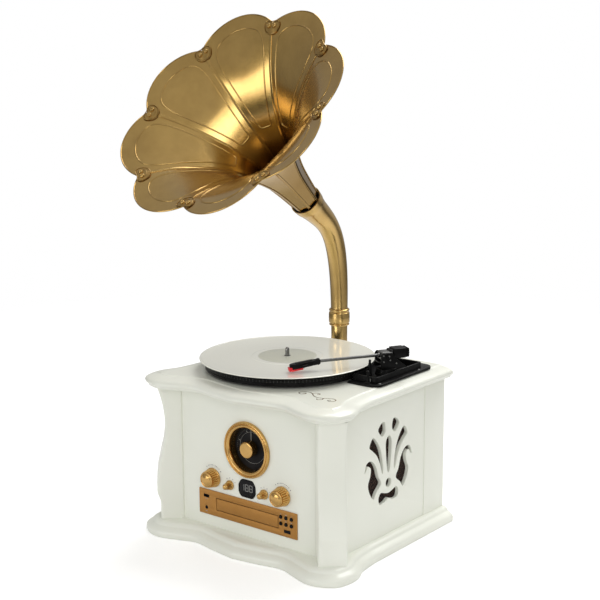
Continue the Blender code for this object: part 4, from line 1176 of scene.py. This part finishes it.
def make_head():
    half = [(1.5, -3.6), (9, -4), (15, -7.2), (40, -7.5), (47, -7), (HEAD_LENGTH, -3.8)]
    shell = soft_plate(softened(half + flipped(half), 2, 4), -3.4, 4.6, (), 1.3, 0.5, 4)
    ridge = softened([(12, -3.4), (42, -5.2), (42, 5.2), (12, 3.4)], 1.6, 4)
    ridge = soft_plate(ridge, 4.2, 5.4, (), 0.8)
    lift = soft_block((24, 34), (6.8, 14), (1, 2), 0.4)
    bm = merged(shell, ridge, rod(5.2, 0.6, 12, 48, 0.8), rod(5.8, 2.6, 4.8, 48, 0.5), lift)
    shape("headshell", moved(bm, HEAD_FRAME), BLACK, "tonearm")
    body = soft_block((31, 51), (-5.8, 5.8), (-6.8, -3), 0.8)
    nose = soft_block((44, HEAD_LENGTH + 2.6), (-5.6, 5.6), (-6.2, 0.2), 1.2)
    tip = turned([(0, -8.2), (0.4, -7.9), (1.2, -5.5), (0, -5.5)], 24, (42, 0, 0))
    shape("stylus", moved(merged(body, nose, tip), HEAD_FRAME), RED, "tonearm")
    clip = soft_block((28, 33.2), (-5, 5), (-5.2, -3.4), 0.6)
    piece("stylus_clip", moved(clip, HEAD_FRAME), MARKS, "tonearm", "tonearm_grey")


def make_lever():
    low, high = heights("speed_lever")
    centre = middle("speed_lever")
    foot = (5, 2.5, (low, low + 1.6), 0.5)
    stem = (1.4, 1.4, (low + 1, low + 17), 0.4)
    grip = (2.6, 2.2, (low + 13, high), 1.2)
    parts = []
    for half_x, half_y, zs, edge in (foot, stem, grip):
        xs = (centre.x - half_x, centre.x + half_x)
        parts.append(soft_block(xs, (centre.y - half_y, centre.y + half_y), zs, edge))
    shape("speed_lever", merged(*parts), BLACK, "speed_lever", slot="tonearm_grey")


# ---------------------------------------------------------------- horn
def horn_point(radius, angle, depth):
    return MOUTH + radius * (math.cos(angle) * ACROSS + math.sin(angle) * UPWARD) - depth * FORWARD


def horn_profile():
    """(radius, depth) of the flare along its seams, from the throat past the rim."""
    points = [(23.4, 257), (30, 205), (37.5, 166), (54, 120), (79, 80), (118, 40), (155, 12)]
    return smooth_path(points + [(CLIP_RADIUS, 0), (TIP_RADIUS + 2, -9.6)], 12)


PROFILE = horn_profile()
THROAT = PROFILE[0][0]


def interpolated(points, x):
    """Value at x between points of (x, value), held at both ends."""
    for (x0, value0), (x1, value1) in zip(points, points[1:]):
        if x0 <= x <= x1 and x1 > x0:
            return value0 + (value1 - value0) * (x - x0) / (x1 - x0)
    return points[-1][1] if x > points[0][0] else points[0][1]


def at_radius(radius):
    """Depth of the flare where it has this radius."""
    return interpolated(PROFILE, radius)


def petal_edge(angle):
    """Radius of a petal's round outer edge, at an angle from its middle line."""
    centre = TIP_RADIUS - EDGE_ARC
    return centre * math.cos(angle) + math.sqrt(EDGE_ARC ** 2 - (centre * math.sin(angle)) ** 2)


def petal_point(turn, angle, radius, lift=0):
    """Point of a petal's sheet; lift moves it out of the horn."""
    flat = math.cos(HALF_TURN) / math.cos(angle)
    round_share = min(1, max(0, (radius - FLAT_RADIUS) / (CLIP_RADIUS - FLAT_RADIUS)))
    squash = flat + (1 - flat) * round_share
    return horn_point(radius * squash + lift * 0.6, turn + angle, at_radius(radius) + lift * 0.8)


def petal_path(turn, points):
    """Path on a petal through (radius, angle) points, its up side towards the viewer at the mouth."""
    path = []
    for radius, angle in points:
        here = petal_point(turn, angle, radius)
        around = petal_point(turn, angle + 0.01, radius) - here
        along = petal_point(turn, angle, radius + 0.5) - here
        normal = around.cross(along).normalized()
        normal = normal if normal.dot(FORWARD) > 0 else -normal
        path.append((petal_point(turn, angle, radius, 0.5), normal))
    return path


def petal_surface(turn, lift):
    """Grid of points of one petal, curled a little along its rim."""
    columns, rows = 48, 70
    gap = 0.15  # half the space between neighbouring petals
    grid = []
    for row in range(rows + 1):
        line = []
        for column in range(columns + 1):
            share = 2 * column / columns - 1
            end = petal_edge(share * HALF_TURN)
            radius = THROAT * (end / THROAT) ** ((row / rows) ** 1.2)
            angle = share * (HALF_TURN - math.asin(gap / radius))
            line.append(petal_point(turn, angle, radius, lift))
        grid.append(line)
    return grid


def smallest(a, b, blend):
    """Smooth minimum of two distances."""
    h = max(blend - abs(a - b), 0) / blend
    return min(a, b) - h * h * blend / 4


def seam_limit(x):
    """How far from a petal's middle line the embossed line may run."""
    return (x * math.sin(HALF_TURN) - SEAM_INSET) / math.cos(HALF_TURN)


def loop_path(turn):
    """Closed line embossed in a petal: along both seams, round near the rim and at the throat."""
    rim_arc = EDGE_ARC - RIM_INSET + 2
    centre = TIP_RADIUS - RIM_INSET - rim_arc
    half = [(x, smallest(y, seam_limit(x), 24)) for x, y in arc(centre, 0, rim_arc, 0, 90, 24)]
    for k in range(1, 22):
        x = centre + (LOOP_END + 4 - centre) * k / 21
        half.append((x, seam_limit(x)))
    x, y = half[-1]
    half += arc(x, y - 5, 5, 90, 180, 6)[1:]
    return petal_path(turn, [(math.hypot(x, y), math.atan2(y, x)) for x, y in half + flipped(half[1:])])


def make_petals():
    for number in range(1, PETALS + 1):
        turn = 2 * math.pi * (number - 0.5) / PETALS + HORN_ROLL
        sheet = sheet_pair(petal_surface(turn, 0), petal_surface(turn, 1))
        bead = swept(loop_path(turn), oval(1.5, 1.45), closed=True)
        angles = [(2 * k / 60 - 1) * (HALF_TURN - 0.004) for k in range(61)]
        rim = petal_path(turn, [(petal_edge(angle) - 0.8, angle) for angle in angles])
        bm = merged(sheet, bead, swept(rim, oval(1.2, 1.3)))
        shape(f"horn_petal_{number}", bm, HORN_BRASS, "horn")


def seam_point(turn, radius):
    return horn_point(radius, turn, at_radius(radius))


def seam_axes(turn, slope):
    """Unit vectors across a seam and out of it, the second towards the viewer at the mouth."""
    side = -math.sin(turn) * ACROSS + math.cos(turn) * UPWARD
    normal = slope.cross(side).normalized()
    return (-side, -normal) if normal.dot(FORWARD) < 0 else (side, normal)


def make_seams():
    """Folded seams that join neighbouring petals, from the throat to the clips."""
    section = softened(rectangle(-2.6, 2.6, -1.6, 1.2), 1, 4)
    groove = [(a, b - (0.55 if abs(a) < 0.7 and b > 0 else 0)) for a, b in section]
    seams = []
    for number in range(PETALS):
        turn = 2 * math.pi * number / PETALS + HORN_ROLL
        path = []
        for k in range(81):
            radius = THROAT + 0.5 + (CLIP_RADIUS - 4 - THROAT) * (k / 80) ** 1.1
            point = seam_point(turn, radius)
            slope = (point - seam_point(turn, radius - 0.5)).normalized()
            path.append((point, seam_axes(turn, slope)[1]))
        seams.append(swept(path, groove))
    piece("horn_seams", merged(*seams), HORN_BRASS, "horn")


def make_clips():
    """Riveted plates over the seams' outer ends."""
    half = [(0, 8), (10.6, 9), (14, 2.4), (9.6, -7.6)]
    outline = [(-14, 2.4), (-10.6, 9)] + half + [(0, -11.6), (-9.6, -7.6)]
    outline = smooth_loop(outline, 6)
    smile = [(-9.6, -0.5), (-6.6, -5.4), (0, -7.4), (6.6, -5.4), (9.6, -0.5)]
    head = [(0, 1), (4.2, 1), (4.1, 3.4), (3, 4.8), (1.7, 5.1), (1.2, 3.8), (0, 3.7)]
    plates, rivets = [], []
    for number in range(PETALS):
        turn = 2 * math.pi * number / PETALS + HORN_ROLL
        centre = seam_point(turn, CLIP_RADIUS - 1.5)
        outward = (seam_point(turn, CLIP_RADIUS + 4) - centre).normalized()
        side, normal = seam_axes(turn, outward)
        place = axes_at(centre, side, outward, normal)
        plate = soft_plate(outline, -2.4, 2, (), 0.8, 0.8)
        rim = swept(above(shifted(outline, 1.5), 1.8), oval(0.9, 0.9, 8), closed=True)
        line = swept(above(smooth_path(smile, 6), 1.8), oval(0.7, 0.8, 8))
        plates.append(moved(merged(plate, rim, line), place))
        rivets += [moved(turned(head, 28, (x, 1.6, 0), (0.5, 3)), place) for x in (-5.8, 5.8)]
    piece("horn_clips", merged(*plates), CLIP_BRASS, "horn")
    piece("clip_rivets", merged(*rivets), HORN_BRASS, "horn")


def elbow_path(steps):
    """Points and directions down the elbow, from the horn's socket to the coupling."""
    start = MOUTH - SOCKET_DEPTH * FORWARD
    end = Vector((HORN_FOOT.x, HORN_FOOT.y, ELBOW_TOP_Z))
    p0, p1, p2, p3 = start, start - 76 * FORWARD, end + 164 * UP, end
    path = []
    for k in range(steps + 1):
        t = k / steps
        point = p0 * (1 - t) ** 3 + p1 * 3 * t * (1 - t) ** 2 + p2 * 3 * t * t * (1 - t) + p3 * t ** 3
        slope = (p1 - p0) * (1 - t) ** 2 + (p2 - p1) * 2 * t * (1 - t) + (p3 - p2) * t * t
        path.append((point, slope.normalized()))
    return path


def tube_ring(point, slope, radius):
    other = slope.cross(ACROSS)
    return [point + radius * (x * ACROSS + y * other) for x, y in oval(1, 1, 72)]


def make_elbow():
    wall, steps = 1.4, 90
    radii = [(0, 28.8), (0.06, 27.4), (0.1, 25.2), (0.2, 22.6), (0.45, 19), (0.75, 17.2), (1, 15.4)]
    radii = smooth_path(radii, 6)
    stations = [(*place, interpolated(radii, k / steps)) for k, place in enumerate(elbow_path(steps))]
    stations.append((Vector((HORN_FOOT.x, HORN_FOOT.y, ELBOW_LOW_Z)), -UP, 15.4))
    outside = [tube_ring(point, slope, radius) for point, slope, radius in stations]
    inside = [tube_ring(point, slope, radius - wall) for point, slope, radius in stations]
    shape("horn_elbow", skin(outside + inside[::-1], closed=True), TUBE_BRASS, "horn")
    ring = turned([(24.9, -254.5), (26.4, -254.5), (27, -249.4), (24.9, -249.4)], 96, soft=(0.5, 3))
    ring = moved(ring, axes_at(MOUTH, ACROSS, UPWARD, FORWARD))
    shape("throat_gasket", ring, RUBBER, "horn")


def make_horn_support():
    x, y = HORN_FOOT.x, HORN_FOOT.y
    low, high = heights("horn_base_tube")
    outer = half_width("horn_base_tube")
    tube = [(outer - 1.5, low), (outer, low), (outer, high), (outer - 1.5, high)]
    shape("horn_base_tube", turned(tube, 96, (x, y, 0), (0.4, 3)), TUBE_BRASS)
    sleeve = [(15.7, 0), (17.2, 0), (18.6, 0.8), (18.6, 2.6), (17.2, 3.4), (17.4, 4.4), (19.1, 5.6)]
    sleeve += [(19.3, 14), (19.1, 23.4), (17.6, 25), (17.2, 26.4), (18.8, 27.4), (18.8, 29.6)]
    sleeve += [(17.2, 30.9), (15.7, 31.1)]
    bm = turned(sleeve, 96, (x, y, heights("horn_coupling")[0]), (0.7, 4))
    shape("horn_coupling", bm, TUBE_BRASS)
    back = BACK_FACE
    flange = back_plate(softened(front_view("horn_bracket"), 7, 6), back + 0.3, back + 4.2, (), 1)
    cup = [(0, 198), (20, 198), (21, 199), (21, 245), (20.4, 247.4), (15.3, 248), (15.3, 204), (0, 204)]
    cup = turned(cup, 96, (x, y, 0), (0.7, 3))
    geom = cup.verts[:] + cup.edges[:] + cup.faces[:]
    plane = (0, back + 0.3, 0)
    bmesh.ops.bisect_plane(cup, geom=geom, plane_co=plane, plane_no=(0, -1, 0), clear_outer=True)
    shape("horn_bracket", merged(flange, cup), TUBE_BRASS)
    low, high = heights("horn_bracket")
    places = [(x + dx, back + 4.2, z) for dx in (-28, 28) for z in (low + 8, high - 8)]
    piece("bracket_screws", merged(*[screw(place, 3.4, OUT_OF_BACK) for place in places]), DARK_METAL)


def make_flourish():
    """Letterless gold flourish printed on the top board: a stem and two leaves."""
    stem = [(93, -101), (97, -98.5), (98, -103.5), (92, -107), (86, -102.5), (89, -94), (99, -91)]
    stem += [(108, -96), (117, -104), (128, -108), (140, -104.5), (150, -100), (159, -102)]
    stem += [(161, -109), (156, -114), (150, -111.5), (154, -107.5)]
    lower_leaf = [(106, -94.5), (112, -88), (119, -90), (117, -95)]
    upper_leaf = [(137, -105.5), (140, -113), (134, -117), (130, -113.5)]
    lines = [above(smooth_path(points, 6), TOP + 0.05) for points in (stem, lower_leaf, upper_leaf)]
    piece("top_flourish", merged(*[swept(line, oval(0.85, 0.16, 8)) for line in lines]), GOLD_PRINT)


def dress_hidden_parts():
    dress(BLACK, "speaker_left", "speaker_right", "memory_stick_socket", "headphone_jack")
    dress(CIRCUIT, "main_board")
    dress(GREY, "disc_drive", "motor")


# ---------------------------------------------------------------- stage
CAMERA_PLACE = Vector((1.3409, -1.6734, 0.8433))
CAMERA_RIGHT = Vector((0.7828, 0.6222, -0.0063))
CAMERA_UP = Vector((-0.1202, 0.1612, 0.9796))
CAMERA_LENS = 78.3
STAGE_MIDDLE = Vector((0, 0, 0.45))


def make_camera():
    data = bpy.data.cameras.new("camera")
    data.lens = CAMERA_LENS
    data.sensor_width = 36
    data.clip_end = 50
    camera = bpy.data.objects.new("camera", data)
    camera.matrix_world = axes_at(CAMERA_PLACE, CAMERA_RIGHT, CAMERA_UP, CAMERA_RIGHT.cross(CAMERA_UP))
    bpy.context.scene.collection.objects.link(camera)
    bpy.context.scene.camera = camera


def studio_light(name, heading, height, distance, size, power):
    """Soft box in a direction: heading 0 is in front of the cabinet and 90 to its right."""
    around, up = math.radians(heading), math.radians(height)
    way = Vector((math.sin(around) * math.cos(up), -math.cos(around) * math.cos(up), math.sin(up)))
    data = bpy.data.lights.new(name, "AREA")
    data.shape = "RECTANGLE"
    data.size, data.size_y = size
    data.energy = power
    obj = bpy.data.objects.new(name, data)
    obj.location = STAGE_MIDDLE + way * distance
    obj.rotation_mode = "QUATERNION"
    obj.rotation_quaternion = (-way).to_track_quat("-Z", "Y")
    bpy.context.scene.collection.objects.link(obj)


def make_floor():
    """Wide pale floor that fades into the background."""
    bm = bmesh.new()
    bmesh.ops.create_circle(bm, cap_ends=True, segments=96, radius=9)
    mesh = bpy.data.meshes.new("floor")
    bm.to_mesh(mesh)
    bm.free()
    look = Look("pale_floor", (0.9, 0.9, 0.9), 0.6)
    look.colour(look.noise(3, 2), (0.3, (0.89, 0.89, 0.89)), (0.7, (0.92, 0.92, 0.92)))
    seen = look.node("LightPath").outputs["Is Camera Ray"]
    look.set("Emission Color", (1, 1, 1, 1))
    look.set("Emission Strength", look.math("MULTIPLY", seen, 0.38))
    fade = smoothstep(look.tree, look.vector("LENGTH", look.place, output="Value"), 0.6, 2.2)
    clear = look.node("BsdfTransparent").outputs["BSDF"]
    mix = look.node("MixShader", {"Fac": fade, 1: look.shader.outputs["BSDF"], 2: clear})
    give(look.tree, look.tree.nodes["Material Output"].inputs["Surface"], mix.outputs["Shader"])
    mesh.materials.append(look.material)
    floor = bpy.data.objects.new("floor", mesh)
    bpy.context.scene.collection.objects.link(floor)


def make_world():
    """Studio room: white as the camera sees it, but a dimmer light, most of all from the left and below."""
    world = bpy.data.worlds.new("studio")
    world.use_nodes = True
    tree = world.node_tree
    place = add_node(tree, "TexCoord", {}).outputs["Generated"]
    direction = add_node(tree, "SeparateXYZ", {"Vector": place}).outputs
    level = smoothstep(tree, direction["X"], -1, 0.3, 0.32, 0.46)
    level = add_node(tree, "Math", {0: direction["Z"], 1: 0.2, 2: level}, operation="MULTIPLY_ADD").outputs[0]
    horizon = smoothstep(tree, direction["Z"], -0.25, 0.02, 0.2)
    room = tree.nodes["Background"]
    room.inputs["Color"].default_value = (1, 0.99, 0.97, 1)
    strength = add_node(tree, "Math", {0: level, 1: horizon}, operation="MULTIPLY").outputs[0]
    give(tree, room.inputs["Strength"], strength)
    sweep = add_node(tree, "Background", {"Color": (1, 1, 1, 1), "Strength": 1})
    seen = add_node(tree, "LightPath", {}).outputs["Is Camera Ray"]
    backgrounds = {"Fac": seen, 1: room.outputs["Background"], 2: sweep.outputs["Background"]}
    mix = add_node(tree, "MixShader", backgrounds)
    give(tree, tree.nodes["World Output"].inputs["Surface"], mix.outputs["Shader"])
    bpy.context.scene.world = world
    bpy.context.scene.view_settings.view_transform = "Standard"


def make_stage():
    make_floor()
    make_world()
    studio_light("key_light", 50, 21, 2.9, (0.8, 1), 11.5)
    studio_light("low_light", -14, 3, 2.9, (1.6, 0.8), 14)
    studio_light("back_light", 178, 52, 2.8, (2.4, 1.8), 63)


def main():
    make_boards()
    make_front()
    make_back()
    make_sides()
    make_posts()
    make_strip()
    make_dial()
    make_display()
    make_knobs()
    make_turntable()
    make_drive()
    make_deck()
    make_pedestal()
    make_yoke()
    make_tonearm()
    make_head()
    make_lever()
    make_petals()
    make_seams()
    make_clips()
    make_elbow()
    make_horn_support()
    make_flourish()
    dress_hidden_parts()
    make_stage()
    make_camera()


main()
